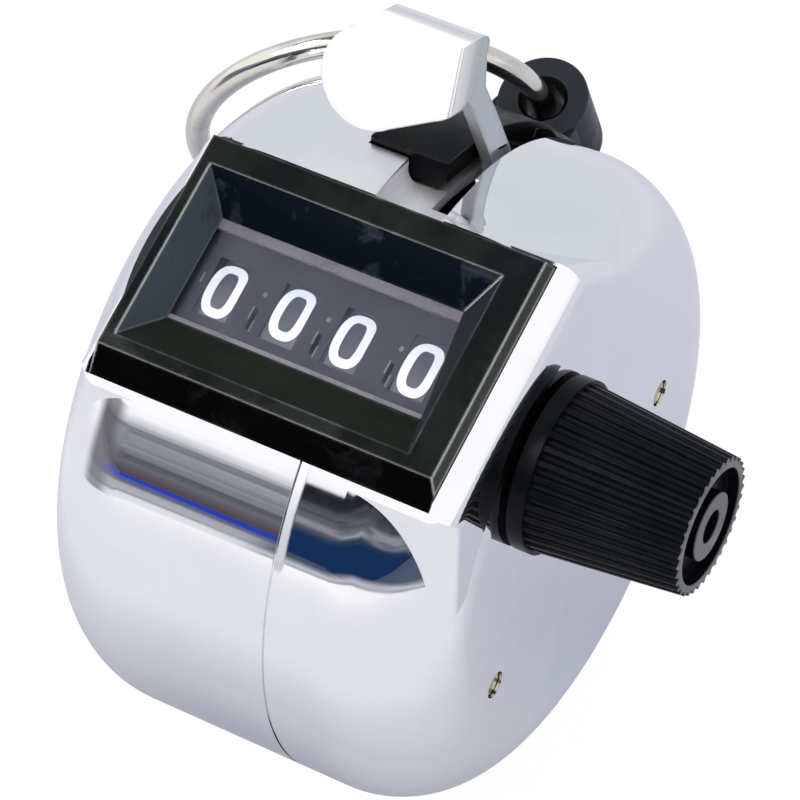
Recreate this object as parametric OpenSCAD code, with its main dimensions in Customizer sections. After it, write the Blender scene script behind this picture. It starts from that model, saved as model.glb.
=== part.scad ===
// Hand tally counter: a drawn two-shell drum with four number wheels behind a
// tilted window, a thumb lever on top, a reset knob on the right and a finger
// ring at the back.
// X runs along the wheel shaft from the left face (x = 0) to the knob, the
// drum's own axis is y = z = 0, the front is -Y and the lever is on top.

/* [Case] */
// Outside diameter of the drum
case_d = 45.2; // [44.6:0.1:47]
// Width of the drum from face to face
case_w = 29.6; // [29.2:0.1:32]
// Radius of the drawn edge between the barrel and each face
edge_r = 7.2; // [6.6:0.1:7.6]
// Thickness of the case sheet
wall = 0.8; // [0.6:0.05:0.9]
// Distance of the seam between the shells from the drum's middle
seam_off = 4.1; // [4:0.05:4.2]
// Width of the fine groove along the seam
seam_w = 0.16; // [0.1:0.02:0.24]
// Depth of that groove
seam_d = 0.3; // [0.2:0.05:0.35]
// Reach of the right shell's lip inside the left shell
lip_l = 1.8; // [1:0.1:2.5]
// Width of the thumb scoop in front of the lever
scoop_w = 4.9; // [4.5:0.1:5.4]
// Depth of the thumb scoop below the barrel
scoop_d = 1.8; // [1.6:0.1:2]

/* [Window] */
// Lean of the window's face from level, in degrees
window_tilt = 25; // [23:0.5:27]
// Drop of the bezel's face below the barrel's crown
window_drop = 1.4; // [1.2:0.1:1.8]
// Width of the bezel along the shaft
bezel_w = 24.2; // [23.8:0.1:24.6]
// Length of the bezel down the slope
bezel_l = 15.7; // [15:0.1:16.4]
// Thickness of the bezel block
bezel_t = 4.2; // [4:0.1:4.6]
// Reach of the bevel below the bezel's face, down the slope
bevel_low = 1.75; // [1.5:0.05:1.9]
// Reach of the bevel to the right of the bezel's face
bevel_side = 0.5; // [0.4:0.05:0.6]
// Distance of the bezel's middle from the drum's middle
bezel_off = 0.4; // [0.2:0.1:0.5]
// Rim to the left of the bezel's recess
rim_left = 0.8; // [0.6:0.1:1]
// Rim to the right of that recess
rim_right = 2.1; // [1.8:0.1:2.4]
// Rim above that recess
rim_top = 1.9; // [1.6:0.1:2.2]
// Rim below that recess
rim_low = 0.95; // [0.8:0.05:1.2]
// Width of the opening that shows the numbers
view_w = 17.7; // [17.4:0.1:18]
// Length of that opening down the slope
view_l = 7.5; // [7:0.1:8]
// Depth of the recess from the bezel's face to the lens
recess_d = 2.8; // [2.5:0.1:3]
// Thickness of the lens
lens_t = 0.6; // [0.5:0.05:0.8]

/* [Number wheels] */
// Diameter of a number wheel
wheel_d = 13.6; // [13:0.1:14]
// Distance between neighbouring wheels
wheel_pitch = 4.65; // [4.55:0.01:4.7]
// Distance of the row's middle from the drum's middle
row_off = -0.2; // [-0.3:0.1:0]
// Shift of the wheel axis down the slope from the bezel's middle
axis_shift = 0.85; // [0.6:0.05:1]
// Width of a wheel's ratchet ring
ratchet_w = 1; // [0.9:0.05:1.1]
// Diameter over the ratchet teeth
ratchet_d = 10.6; // [10:0.1:10.8]
// Teeth on a ratchet ring, one for each number
ratchet_teeth = 10; // [10]
// Diameter of the wheel shaft
shaft_d = 3; // [2.6:0.1:3.2]

/* [Reset knob] */
// Diameter of the knob's base flange
knob_base_d = 11.8; // [11.4:0.1:12.4]
// Thickness of that flange
knob_base_t = 1.1; // [0.8:0.1:1.4]
// Diameter of the grip where it meets the flange
knob_root_d = 11.3; // [10.8:0.1:11.6]
// Diameter of the grip at its free end
knob_tip_d = 9.3; // [9:0.1:9.8]
// Length of the knob from its flange to its free end
knob_l = 11.3; // [10.5:0.1:12.5]
// Number of flutes around the grip
flute_count = 36; // [30:1:40]
// Radius of one flute
flute_r = 0.3; // [0.24:0.01:0.34]

/* [Thumb lever] */
// Thickness of the lever sheet
lever_t = 0.9; // [0.8:0.05:1]
// Width of the thumb pad along the shaft
pad_w = 10.3; // [10:0.1:10.6]
// Height of the thumb pad up its slope
pad_l = 8.4; // [8:0.1:8.5]
// Slope of the thumb pad from level, in degrees
pad_slope = 69; // [68:0.5:70]
// Width of the pad's straight top edge
pad_top_w = 6.4; // [6:0.1:6.8]
// Distance of the lever's pivot behind the drum's axis
pivot_y = 11.05; // [10.8:0.05:11.3]
// Height of that pivot above the drum's axis
pivot_z = 1.65; // [1.4:0.05:1.9]
// Diameter of the pivot pin
pivot_d = 2.4; // [2:0.1:2.6]

/* [Finger ring] */
// Outside diameter of the finger ring
ring_d = 26.2; // [25:0.1:27]
// Diameter of the ring's wire
ring_wire = 1.7; // [1.5:0.05:1.8]
// Angle of the lug behind the drum's crown, in degrees
lug_angle = 65.8; // [64:0.1:68]
// Distance of the lug's hole from the drum's middle
lug_off = -1.2; // [-1.4:0.1:-0.8]
// Height of the lug's hole above the barrel
lug_h = 3.6; // [3.5:0.1:4]
// Outside diameter of the lug
lug_d = 6.4; // [6.2:0.1:6.6]
// Diameter of the lug's hole
lug_bore = 2.9; // [2.8:0.05:3]
// Length of the lug along its hole
lug_l = 6.2; // [6:0.1:6.4]
// Lean of the resting ring from the lug towards the case, in degrees
ring_lean = 30; // [28:0.5:31]

/* [Hidden] */
$fn = 64;

// Clearances
fit_gap = 0.1;       // between pieces that are set into each other
run_gap = 0.05;      // radial, between a shaft and what turns on it
side_gap = 0.3;      // beside a piece that turns or swings
past = 1;            // overrun of a cutter past the face that it cuts

// Drum and window
case_r = case_d / 2;
seam_x = case_w / 2 + seam_off;
bezel_x = case_w / 2 + bezel_off;
row_x = case_w / 2 + row_off;
lug_x = case_w / 2 + lug_off;
window_h = case_r - window_drop;
lens_top = window_h - recess_d;
lens_lap = 0.8;
lens_gap = 0.3;
recess_x0 = bezel_x - bezel_w / 2 + rim_left;
recess_x1 = bezel_x + bezel_w / 2 - rim_right;
recess_y0 = -bezel_l / 2 + rim_low;
recess_y1 = bezel_l / 2 - rim_top;
view_shift = -0.55;
view_x = row_x + view_shift;
bevel_drop = 1.1;
bevel_side_drop = 0.5;
facet_drop = 0.45;
facet_h = window_h - facet_drop;
shoulder_x0 = 2.3;
shoulder_x1 = case_w - 0.1;
shoulder_r = 0.9;
strip_r = 2.2;
shoulder_up = 0.3;
shoulder_low = 0.6;
shoulder_base = 12;
ramp_up = 58;
ramp_low = 63;
ramp_r = 1.6;

// Wheels
wheel_r = wheel_d / 2;
wheel_gap = 0.25;
wheel_w = wheel_pitch - wheel_gap;
wheel_count = 4;
rim_t = 1.1;
rim_gap = 0.1;
web_t = 0.9;
hub_r = 2.8;
ratchet_depth = 0.9;
shaft_r = shaft_d / 2;
axis_h = lens_top - lens_t - lens_gap - wheel_r;
axis_y = -axis_h * sin(window_tilt) - axis_shift * cos(window_tilt);
axis_z = axis_h * cos(window_tilt) - axis_shift * sin(window_tilt);

// Inner frame
plate_t = 1;
plate_room = 2.3;
plate_shift = 0.2;
plate_x0 = row_x - wheel_count * wheel_pitch / 2 - plate_room;
plate_x1 = row_x + wheel_count * wheel_pitch / 2 + plate_room - plate_t + plate_shift;
plate_gap = 0.4;
post_r = 1.5;
post_places = [[-11.5, -5.9], [2, -15.5]];
rivet_r = 0.85;

// Lever guide and its channel
lever_off = 0.4;
lever_x = seam_x - lever_off;
slot_from = 1.6;
slot_to = 40;
slot_w = lever_t + 2 * side_gap;
channel_side = 0.4;
channel_left = 6.5;
channel_x0 = lever_x - channel_left;
channel_x1 = lever_x + slot_w / 2 + channel_side;
channel_corner = 1;
channel_rise = 3;
channel_from = 6.3;
channel_to = 82;
guide_proud = 0.5;
scoop_left = 3.5;
scoop_x0 = lever_x - scoop_left;
scoop_from = -25;

// Lever outline in the y, z plane
pad_top_y = 4.2;
pad_top_z = 32.4;
hem_r = 0.9;
bend_r = 1;
toe_r = 3.45;
heel_r = 2.7;
heel_drop = 3.6;
sleeve_r = 2.5;
arm_w = 3;
arm_t = 0.9;
arm_x0 = plate_x0 + plate_t + side_gap;
arm_x1 = plate_x1 - side_gap - arm_t;

// Drive pawl
pawl_pin_y = 4.6;
pawl_pin_z = 14.4;
pawl_pin_r = 0.8;
pawl_hub_r = 1.5;
finger_w = 0.75;
pawl_clear = 0.45;
pawl_from = 50;
tooth_step = 360 / ratchet_teeth;
tooth_phase = pawl_from + 2;

// Detent comb
rod_y = 2.2;
rod_z = -2;
rod_r = 1.2;
comb_t = 0.3;
comb_from = tooth_phase - 3 * tooth_step - 5;

// Knob
knob_x0 = case_w + side_gap;
knob_recess_r = 3.95;
knob_recess_d = 0.9;
knob_boss_r = 2.3;
knob_hole_r = 1.15;
knob_pin_r = 0.5;
shaft_in_knob = 7.6;

// Finger ring
ring_r = (ring_d - ring_wire) / 2;
lug_rho = case_r + lug_h;
lug_front = 1.3;
lug_y = lug_rho * sin(lug_angle);
lug_z = lug_rho * cos(lug_angle);

// Moves a flat outline in y, z to a slab of a given thickness from x
module slab(x, t) {
    translate([x, 0, 0])
        rotate([90, 0, 90])
            linear_extrude(t)
                children();
}

// A round bar along X
module bar(x, l, r) {
    translate([x, 0, 0])
        rotate([0, 90, 0])
            cylinder(h = l, r = r);
}

// A flat strap between two points of the y, z plane, with round ends
module strap(a, b, w) {
    d = b - a;
    translate(a)
        rotate(atan2(d[1], d[0]))
            translate([0, -w * 0.49])
                square([norm(d), w * 0.98]);
    translate(a)
        circle(w / 2);
    translate(b)
        circle(w / 2);
}

// The drum's full form, with every face moved in by the inset
module drum(inset) {
    r = case_r - inset;
    e = edge_r - inset;
    w = case_w - 2 * inset;
    translate([inset, 0, 0])
        rotate([0, 90, 0])
            rotate_extrude($fn = 128) {
                square([r - e, w]);
                translate([0, e])
                    square([r, w - 2 * e]);
                translate([r - e, e])
                    circle(e);
                translate([r - e, w - e])
                    circle(e);
            }
}

// A flat outline in x and height, run up the window's slope
module along_slope(l) {
    rotate([window_tilt, 0, 0])
        translate([0, l / 2, 0])
            rotate([90, 0, 0])
                linear_extrude(l)
                    children();
}

// A flat outline in slope and height of the window, run along the shaft
module across_window(x, w) {
    rotate([window_tilt, 0, 0])
        slab(x, w)
            children();
}

// All below a plane at a tilt and height over the drum's axis, with rounded edges
module edge_prism(tilt, h, x0, x1, r0, r1) {
    rotate([tilt - window_tilt, 0, 0])
        along_slope(3 * case_d) {
            translate([x0, -case_d])
                square([x1 - x0, h - r1 + case_d]);
            translate([x0, -case_d])
                square([x1 - x0 - r1, h - r0 + case_d]);
            translate([x0 + r0, h - 2 * r0])
                square([x1 - x0 - r0 - r1, 2 * r0]);
            translate([x0 + r0, h - r0])
                circle(r0);
            translate([x1 - r1, h - r1])
                circle(r1);
        }
}

// The squared shoulder that carries the window, ramped into the drum at both ends
module shoulder(inset) {
    up = bezel_l / 2 + shoulder_up;
    low = bezel_l / 2 + bevel_low + shoulder_low;
    low_h = facet_h - bevel_drop / 2;
    up_h = facet_h * cos(ramp_up) + up * sin(ramp_up);
    down_h = low_h * cos(ramp_low) + low * sin(ramp_low);
    x0 = shoulder_x0 + inset;
    x1 = shoulder_x1 - inset;
    intersection() {
        edge_prism(window_tilt, facet_h - inset, x0, x1,
            max(shoulder_r - inset, fit_gap), strip_r - inset);
        edge_prism(window_tilt - ramp_up, up_h - inset, x0, x1, ramp_r - inset, ramp_r - inset);
        edge_prism(window_tilt + ramp_low, down_h - inset, x0, x1, ramp_r - inset, ramp_r - inset);
        window_block(case_w / 2, 2 * case_d, 3 * case_d, shoulder_base, case_d);
        bar(0, case_w, case_r - inset, $fn = 128);
    }
}

// The drum with its window flat and shoulder, every face moved in by the inset
module body_form(inset) {
    edge = bezel_l / 2 + fit_gap / 2 + 2 * inset;
    difference() {
        drum(inset);
        rotate([window_tilt, 0, 0])
            translate([-past, edge - 3 * case_d, facet_h - inset])
                cube([case_w + 2 * past, 3 * case_d, case_d]);
    }
    shoulder(inset);
}

// The fine groove that shows where the two shells meet
module seam_groove() {
    difference() {
        slice(seam_x - seam_w / 2, seam_x + seam_w / 2);
        body_form(seam_d);
    }
}

// A channel round the barrel between two angles from the crown towards the back
module channel(x0, x1, rho, from, to, corner) {
    rotate([0, 90, 0])
        rotate([0, 0, 180 - to])
            rotate_extrude(angle = to - from, $fn = 128)
                translate([rho, x0]) {
                    translate([corner, 0])
                        square([case_r + channel_rise - rho - corner, x1 - x0]);
                    translate([0, corner])
                        square([corner, x1 - x0 - 2 * corner]);
                    translate([corner, corner])
                        circle(corner);
                    translate([corner, x1 - x0 - corner])
                        circle(corner);
                }
}

// The thumb scoop in front of the lever and the channel for the lever guide
module top_recess(grow) {
    turn = grow / case_r * 180 / PI;
    floor_rho = case_r - scoop_d - grow;
    lap = 1;
    channel(scoop_x0 - grow, scoop_x0 + scoop_w + grow, floor_rho,
        scoop_from, channel_from + lap, channel_corner);
    channel(channel_x0 - grow, channel_x1 + grow, floor_rho,
        channel_from - turn, channel_to + turn, channel_corner);
}

// A block in the window's own frame: x, up the slope, and out of the face
module window_block(x, w, l, h0, h1) {
    rotate([window_tilt, 0, 0])
        translate([x - w / 2, -l / 2, h0])
            cube([w, l, h1 - h0]);
}

// The closed case before it is parted at the seam
module case_shell() {
    difference() {
        body_form(0);
        top_recess(0);
        difference() {
            body_form(wall);
            top_recess(wall);
        }
        across_window(bezel_x - bezel_w / 2 - fit_gap, bezel_w + bevel_side + 2 * fit_gap)
            translate([-bezel_l / 2 - bevel_low - fit_gap, window_h - bezel_t - past])
                square([bezel_l + bevel_low + 2 * fit_gap, bezel_t + 3 * past]);
        channel(lever_x - slot_w / 2, lever_x + slot_w / 2, case_r - 4 * wall - scoop_d,
            slot_from, slot_to, wall / 4);
        translate([case_w - wall - past, axis_y, axis_z])
            bar(0, wall + 2 * past, shaft_r + side_gap);
        translate([case_w - wall - past, pivot_y, pivot_z])
            bar(0, wall + 2 * past, rivet_r + fit_gap);
        translate([case_w - wall - past, post_places[0][0], post_places[0][1]])
            bar(0, wall + 2 * past, rivet_r + fit_gap);
    }
}

// A slice of everything between two planes across the shaft
module slice(x0, x1) {
    translate([x0, -2 * case_r, -2 * case_r])
        cube([x1 - x0, 4 * case_r, 4 * case_r]);
}

module left_case() {
    color("lightgray")
        intersection() {
            difference() {
                case_shell();
                seam_groove();
            }
            slice(-past, seam_x);
        }
}

module right_case() {
    lip_t = wall / 2;
    color("lightgray") {
        intersection() {
            difference() {
                case_shell();
                seam_groove();
            }
            slice(seam_x, case_w + past);
        }
        intersection() {
            difference() {
                drum(wall + run_gap);
                drum(wall + run_gap + lip_t);
            }
            slice(seam_x - lip_l, seam_x + 2 * wall);
            lower_half();
        }
        intersection() {
            difference() {
                drum(wall / 2);
                drum(wall + run_gap + lip_t);
            }
            slice(seam_x + run_gap, seam_x + 2 * wall);
            lower_half();
        }
    }
}

// The part of the barrel that the lip runs round, clear of window and channel
module lower_half() {
    lip_share = 0.31;
    translate([0, -2 * case_r, -(2 + lip_share) * case_r])
        cube([case_w, 4 * case_r, 2 * case_r]);
}

module window_bezel() {
    floor_t = 0.01;
    color([0.06, 0.06, 0.06])
        difference() {
            across_window(bezel_x - bezel_w / 2, bezel_w + bevel_side)
                polygon([[-bezel_l / 2 - bevel_low, window_h - bezel_t],
                    [-bezel_l / 2 - bevel_low, window_h - bevel_drop], [-bezel_l / 2, window_h],
                    [bezel_l / 2, window_h], [bezel_l / 2, window_h - bezel_t]]);
            along_slope(2 * case_d)
                polygon([[bezel_x + bezel_w / 2, window_h],
                    [bezel_x + bezel_w / 2 + 2 * bevel_side, window_h - 2 * bevel_side_drop],
                    [bezel_x + bezel_w / 2 + 2 * bevel_side, window_h + past],
                    [bezel_x + bezel_w / 2, window_h + past]]);
            rotate([window_tilt, 0, 0])
                hull() {
                    translate([recess_x0, recess_y0, window_h])
                        cube([recess_x1 - recess_x0, recess_y1 - recess_y0, floor_t]);
                    translate([view_x - view_w / 2, -view_l / 2, lens_top - floor_t])
                        cube([view_w, view_l, floor_t]);
                }
            window_block(view_x, view_w + 2 * lens_lap + 2 * fit_gap, view_l + 2 * lens_lap + 2 * fit_gap,
                window_h - bezel_t - past, lens_top);
        }
}

module window_lens() {
    color([0.85, 0.9, 0.92, 0.4])
        window_block(view_x, view_w + 2 * lens_lap, view_l + 2 * lens_lap, lens_top - lens_t, lens_top);
}

// One number wheel: a rim for the numbers, a web, a hub and the ratchet ring
module number_wheel(place) {
    x0 = row_x + (place - (wheel_count - 1) / 2) * wheel_pitch - wheel_w / 2;
    rim_x = ratchet_w + rim_gap;
    tip = ratchet_d / 2;
    root = tip - ratchet_depth;
    teeth = [for (k = [0 : ratchet_teeth - 1]) for (r = [root, tip])
        r * [cos(tooth_phase + k * tooth_step), sin(tooth_phase + k * tooth_step)]];
    color([0.2, 0.2, 0.2])
        translate([x0, axis_y, axis_z]) {
            difference() {
                union() {
                    slab(0, ratchet_w)
                        polygon(teeth);
                    bar(0, wheel_w, hub_r);
                    bar(ratchet_w - rim_gap, web_t + 2 * rim_gap, root);
                    bar(rim_x, web_t, wheel_r - rim_t / 2);
                    difference() {
                        bar(rim_x, wheel_w - rim_x, wheel_r);
                        bar(rim_x - past, wheel_w + 2 * past, wheel_r - rim_t);
                    }
                }
                bar(-past, wheel_w + 2 * past, shaft_r + run_gap);
            }
        }
}

module thousands_wheel() {
    number_wheel(0);
}

module hundreds_wheel() {
    number_wheel(1);
}

module tens_wheel() {
    number_wheel(2);
}

module units_wheel() {
    number_wheel(3);
}

// The shaft, with the lengthwise groove that picks up the wheels at a reset
module wheel_shaft() {
    shaft_end = 0.9;
    x0 = plate_x0 - shaft_end;
    x1 = knob_x0 + shaft_in_knob;
    groove_w = 0.6;
    groove_d = 0.45;
    groove_x0 = row_x - wheel_count * wheel_pitch / 2;
    color("silver")
        translate([0, axis_y, axis_z])
            difference() {
                bar(x0, x1 - x0, shaft_r);
                translate([groove_x0, -groove_w / 2, shaft_r - groove_d])
                    cube([wheel_count * wheel_pitch, groove_w, shaft_r]);
                translate([knob_x0 + shaft_in_knob / 2, 0, -2 * shaft_r])
                    cylinder(h = 2 * shaft_r + fit_gap, r = knob_pin_r + fit_gap / 4);
                clip_groove();
            }
}

// The groove round the shaft that the clip sits in, outside the left plate
module clip_groove() {
    clip_t = 0.4;
    x = plate_x0 - fit_gap - clip_t;
    difference() {
        bar(x - run_gap, clip_t + 2 * run_gap, shaft_r + past);
        bar(x - past, clip_t + 2 * past, shaft_r - wall / 4);
    }
}

module shaft_clip() {
    clip_t = 0.4;
    clip_land = 1.1;
    mouth_share = 0.8;
    clip_r = shaft_r + clip_land;
    mouth = shaft_d * mouth_share;
    color("dimgray")
        translate([plate_x0 - fit_gap - clip_t, axis_y, axis_z])
            difference() {
                bar(0, clip_t, clip_r);
                bar(-past, clip_t + 2 * past, shaft_r - wall / 4 + run_gap);
                translate([-past, -mouth / 2, -2 * clip_r])
                    cube([clip_t + 2 * past, mouth, 2 * clip_r]);
            }
}

module reset_knob() {
    grip_l = knob_l - knob_base_t;
    taper = atan2((knob_root_d - knob_tip_d) / 2, grip_l);
    color([0.09, 0.09, 0.09])
        translate([knob_x0, axis_y, axis_z])
            difference() {
                union() {
                    bar(0, knob_base_t, knob_base_d / 2);
                    translate([knob_base_t, 0, 0])
                        rotate([0, 90, 0])
                            cylinder(h = grip_l, d1 = knob_root_d, d2 = knob_tip_d);
                }
                for (k = [0 : flute_count - 1])
                    rotate([k * 360 / flute_count, 0, 0])
                        translate([knob_base_t, 0, knob_root_d / 2])
                            rotate([0, 90 + taper, 0])
                                cylinder(h = grip_l + past, r = flute_r, $fn = 24);
                translate([knob_l - knob_recess_d, 0, 0])
                    difference() {
                        bar(0, knob_recess_d + past, knob_recess_r);
                        bar(-past, knob_recess_d + 3 * past, knob_boss_r);
                    }
                bar(-past, shaft_in_knob + past, shaft_r + run_gap / 2);
                bar(shaft_in_knob - past, knob_l, knob_hole_r);
                translate([shaft_in_knob / 2, 0, -knob_root_d])
                    cylinder(h = knob_root_d, r = knob_pin_r + fit_gap / 4);
            }
}

module knob_pin() {
    pin_l = knob_tip_d / 2 - wall;
    color("gray")
        translate([knob_x0 + shaft_in_knob / 2, axis_y, axis_z - pin_l])
            cylinder(h = pin_l, r = knob_pin_r);
}

// Inside radius of the case at a distance from the nearer face
function room_at(x) = case_r - edge_r
    + sqrt(pow(edge_r - wall, 2) - pow(max(edge_r - x, 0), 2));

// A side plate of the inner frame, flat under the window
module side_plate(x) {
    reach = room_at(min(x, case_w - x - plate_t)) - plate_gap;
    top = window_h - bezel_t - plate_gap;
    window_r = 4.2;
    window_y = 2;
    window_z = -7;
    color("darkgray")
        difference() {
            slab(x, plate_t)
                difference() {
                    intersection() {
                        circle(reach);
                        rotate(window_tilt)
                            translate([-case_d, -case_d])
                                square([2 * case_d, case_d + top]);
                    }
                    translate([window_y, window_z])
                        circle(window_r);
                    translate([axis_y, axis_z])
                        circle(shaft_r + run_gap);
                    translate([pivot_y, pivot_z])
                        circle(pivot_d / 2 + fit_gap / 4);
                    translate([rod_y, rod_z])
                        circle(rod_r + fit_gap / 4);
                    for (p = post_places)
                        translate(p)
                            circle(rivet_r + fit_gap / 4);
                }
            top_recess(wall + plate_gap);
        }
}

module left_plate() {
    side_plate(plate_x0);
}

module right_plate() {
    side_plate(plate_x1);
}

// Shouldered posts that hold the two plates apart
module frame_posts() {
    gap = plate_x1 - plate_x0 - plate_t;
    head = 0.3;
    color("silver")
        for (k = [0 : len(post_places) - 1])
            translate([plate_x0, post_places[k][0], post_places[k][1]]) {
                bar(plate_t, gap, post_r);
                bar(-head, gap + plate_t + (k == 0 ? head : plate_t + 2 * head), rivet_r);
            }
}

// The rivet that ties the right shell to the first post
module case_rivet() {
    sink = 0.25;
    color("darkkhaki")
        translate([0, post_places[0][0], post_places[0][1]])
            bar(plate_x1, case_w - sink - plate_x1, rivet_r);
}

// Flat outline of the thumb pad: straight along the top, cut at one corner,
// round at the free lower corner and smaller round beside the bend
module pad_outline() {
    toe = [-pad_w + toe_r, -pad_l + toe_r];
    heel = [-heel_r - run_gap, -heel_drop];
    run = norm(heel - toe);
    turn = atan2(heel[1] - toe[1], heel[0] - toe[0]) - asin((heel_r - toe_r) / run);
    slope = [sin(turn), -cos(turn)];
    cut = 0.7;
    translate(toe)
        circle(toe_r);
    translate(heel)
        circle(heel_r);
    polygon([[-pad_top_w, 0], [0, 0], [0, heel[1]], heel + 0.99 * heel_r * slope, toe + 0.99 * toe_r * slope,
        toe, [toe[0] - toe_r * cut, toe[1] + toe_r * cut]]);
}

// The hem rolled back along the pad's straight top edge
module pad_hem() {
    intersection() {
        translate([-2 * pad_w, -hem_r, -hem_r - run_gap])
            bar(0, 2 * pad_w, hem_r);
        translate([0, 0, -2 * hem_r])
            linear_extrude(2 * hem_r)
                pad_outline();
    }
}

// Flat outline of the lever's blade in the y, z plane
module blade_outline() {
    foot = 4;
    back = 1.2;
    front_knee = [1.6, -3.6];
    front_root = [3.4, -7.9];
    back_top = [2.2, -0.6];
    back_knee = [3.8, -3.9];
    back_root = [5.7, -8.2];
    slope = [cos(pad_slope), sin(pad_slope)];
    inside = lever_t / 3 * [sin(pad_slope), -cos(pad_slope)];
    top = [pad_top_y, pad_top_z] - (hem_r + fit_gap) * slope + inside;
    low = [pad_top_y, pad_top_z] - foot * slope + inside;
    polygon([top, low, low + front_knee, low + front_root,
        [pivot_y - sleeve_r + fit_gap, pivot_z], [pivot_y + sleeve_r - fit_gap, pivot_z],
        low + back_root, low + back_knee, low + back_top, top + [back, -hem_r],
        top + [back, -hem_r / 2], top + [hem_r, 0]]);
}

// The lever: thumb pad bent over a flat blade, sleeve and two pawl arms
module thumb_lever() {
    right_x = lever_x + lever_t / 2;
    color("gainsboro")
        difference() {
            union() {
                slab(lever_x - lever_t / 2, lever_t)
                    blade_outline();
                translate([0, pivot_y, pivot_z])
                    bar(arm_x0, arm_x1 + arm_t - arm_x0, sleeve_r);
                for (x = [arm_x0, arm_x1])
                    slab(x, arm_t)
                        strap([pivot_y, pivot_z], [pawl_pin_y, pawl_pin_z], arm_w);
                translate([right_x, pad_top_y, pad_top_z])
                    rotate([pad_slope, 0, 0]) {
                        intersection() {
                            translate([0, 0, -lever_t])
                                linear_extrude(lever_t)
                                    pad_outline();
                            translate([-2 * pad_w, -2 * pad_l - hem_r + fit_gap, -past])
                                cube([2 * pad_w, 2 * pad_l, 2 * past]);
                        }
                        pad_hem();
                    }
            }
            translate([right_x, pad_top_y, pad_top_z])
                rotate([pad_slope, 0, 0])
                    bend_round();
            translate([0, pivot_y, pivot_z])
                bar(0, case_w, pivot_d / 2 + run_gap);
            translate([0, pawl_pin_y, pawl_pin_z])
                bar(0, case_w, pawl_pin_r + fit_gap / 4);
        }
}

// The waste outside the round bend between the pad and the blade
module bend_round() {
    translate([-bend_r, past, -bend_r])
        rotate([90, 0, 0])
            linear_extrude(pad_l)
                difference() {
                    square([bend_r + past, bend_r + past]);
                    circle(bend_r - run_gap);
                }
}

module lever_pivot() {
    sink = 0.2;
    color("silver")
        translate([0, pivot_y, pivot_z])
            union() {
                bar(plate_x0 - sink, plate_x1 + plate_t + 2 * sink - plate_x0, pivot_d / 2);
                bar(plate_x1, case_w - sink - plate_x1, rivet_r);
            }
}

// Points of the return spring: a leg, a coil round the sleeve, and a leg
spring_wire = 0.5;
spring_r = sleeve_r + 0.35 + spring_wire / 2;
spring_turns = 6;
spring_pitch = 0.75;
spring_rest = 6.9;
spring_leg = 6;
spring_steps = 12;
spring_end = 20;
spring_sweep = spring_turns * 360 + 90 + spring_end;
spring_count = ceil(spring_sweep * spring_steps / 360);
spring_l = spring_pitch * spring_sweep / 360;
spring_x = lever_x - lever_t / 2 - spring_wire - spring_l;
spring_coil = [for (k = [0 : spring_count])
    let (a = k * spring_sweep / spring_count - 90)
    [spring_x + k * spring_l / spring_count, pivot_y + spring_r * cos(a), pivot_z + spring_r * sin(a)]];
spring_path = concat(
    [[spring_x, pivot_y - spring_rest, pivot_z - spring_r]],
    spring_coil,
    [spring_coil[spring_count] + spring_leg * [0, -sin(spring_end), cos(spring_end)]]);

function unit(v) = v / norm(v);

// A round wire swept along points that never run along X
module wire(points, r, sides) {
    n = len(points);
    rings = [for (i = [0 : n - 1])
        let (t = unit(points[min(i + 1, n - 1)] - points[max(i - 1, 0)]),
            a = unit(cross(t, [1, 0, 0])),
            b = cross(t, a))
        for (k = [0 : sides - 1])
            points[i] + r * (cos(k * 360 / sides) * a + sin(k * 360 / sides) * b)];
    walls = [for (i = [0 : n - 2]) for (k = [0 : sides - 1])
        let (p = i * sides + k, q = i * sides + (k + 1) % sides)
        each [[p, q, p + sides], [q, q + sides, p + sides]]];
    ends = [for (k = [1 : sides - 2])
        each [[0, k + 1, k], [(n - 1) * sides, (n - 1) * sides + k, (n - 1) * sides + k + 1]]];
    polyhedron(points = rings, faces = concat(walls, ends), convexity = 8);
}

module lever_spring() {
    color("silver")
        wire(spring_path, spring_wire / 2, 6);
}

// Where the fingers of the combs stand, in the gap beside each ratchet ring
function finger_x(place) = row_x + (place - (wheel_count - 1) / 2) * wheel_pitch - wheel_w / 2
    - wheel_gap / 2 + (ratchet_w + rim_gap + wheel_gap / 2 - finger_w) / 2;

// The drive pawl: a tube on its pin with one finger for each wheel
module drive_pawl() {
    tip_r = ratchet_d / 2 + pawl_clear;
    tip = [axis_y + tip_r * cos(pawl_from), axis_z + tip_r * sin(pawl_from)];
    reach = tip - [pawl_pin_y, pawl_pin_z];
    l = norm(reach);
    x0 = arm_x0 + arm_t + side_gap;
    x1 = arm_x1 - side_gap;
    color("darkgray")
        translate([0, pawl_pin_y, pawl_pin_z])
            difference() {
                union() {
                    bar(x0, x1 - x0, pawl_hub_r);
                    for (place = [0 : wheel_count - 1])
                        slab(finger_x(place), finger_w)
                            rotate(atan2(reach[1], reach[0]))
                                polygon([[0, 0.6], [l, 0], [l - 0.8, -0.9], [0, -1.2]]);
                }
                bar(x0 - past, x1 - x0 + 2 * past, pawl_pin_r + run_gap);
            }
}

module pawl_pin() {
    color("silver")
        translate([0, pawl_pin_y, pawl_pin_z])
            bar(arm_x0, arm_x1 + arm_t - arm_x0, pawl_pin_r);
}

module comb_rod() {
    color("silver")
        translate([0, rod_y, rod_z])
            bar(plate_x0, plate_x1 + plate_t - plate_x0, rod_r);
}

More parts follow.
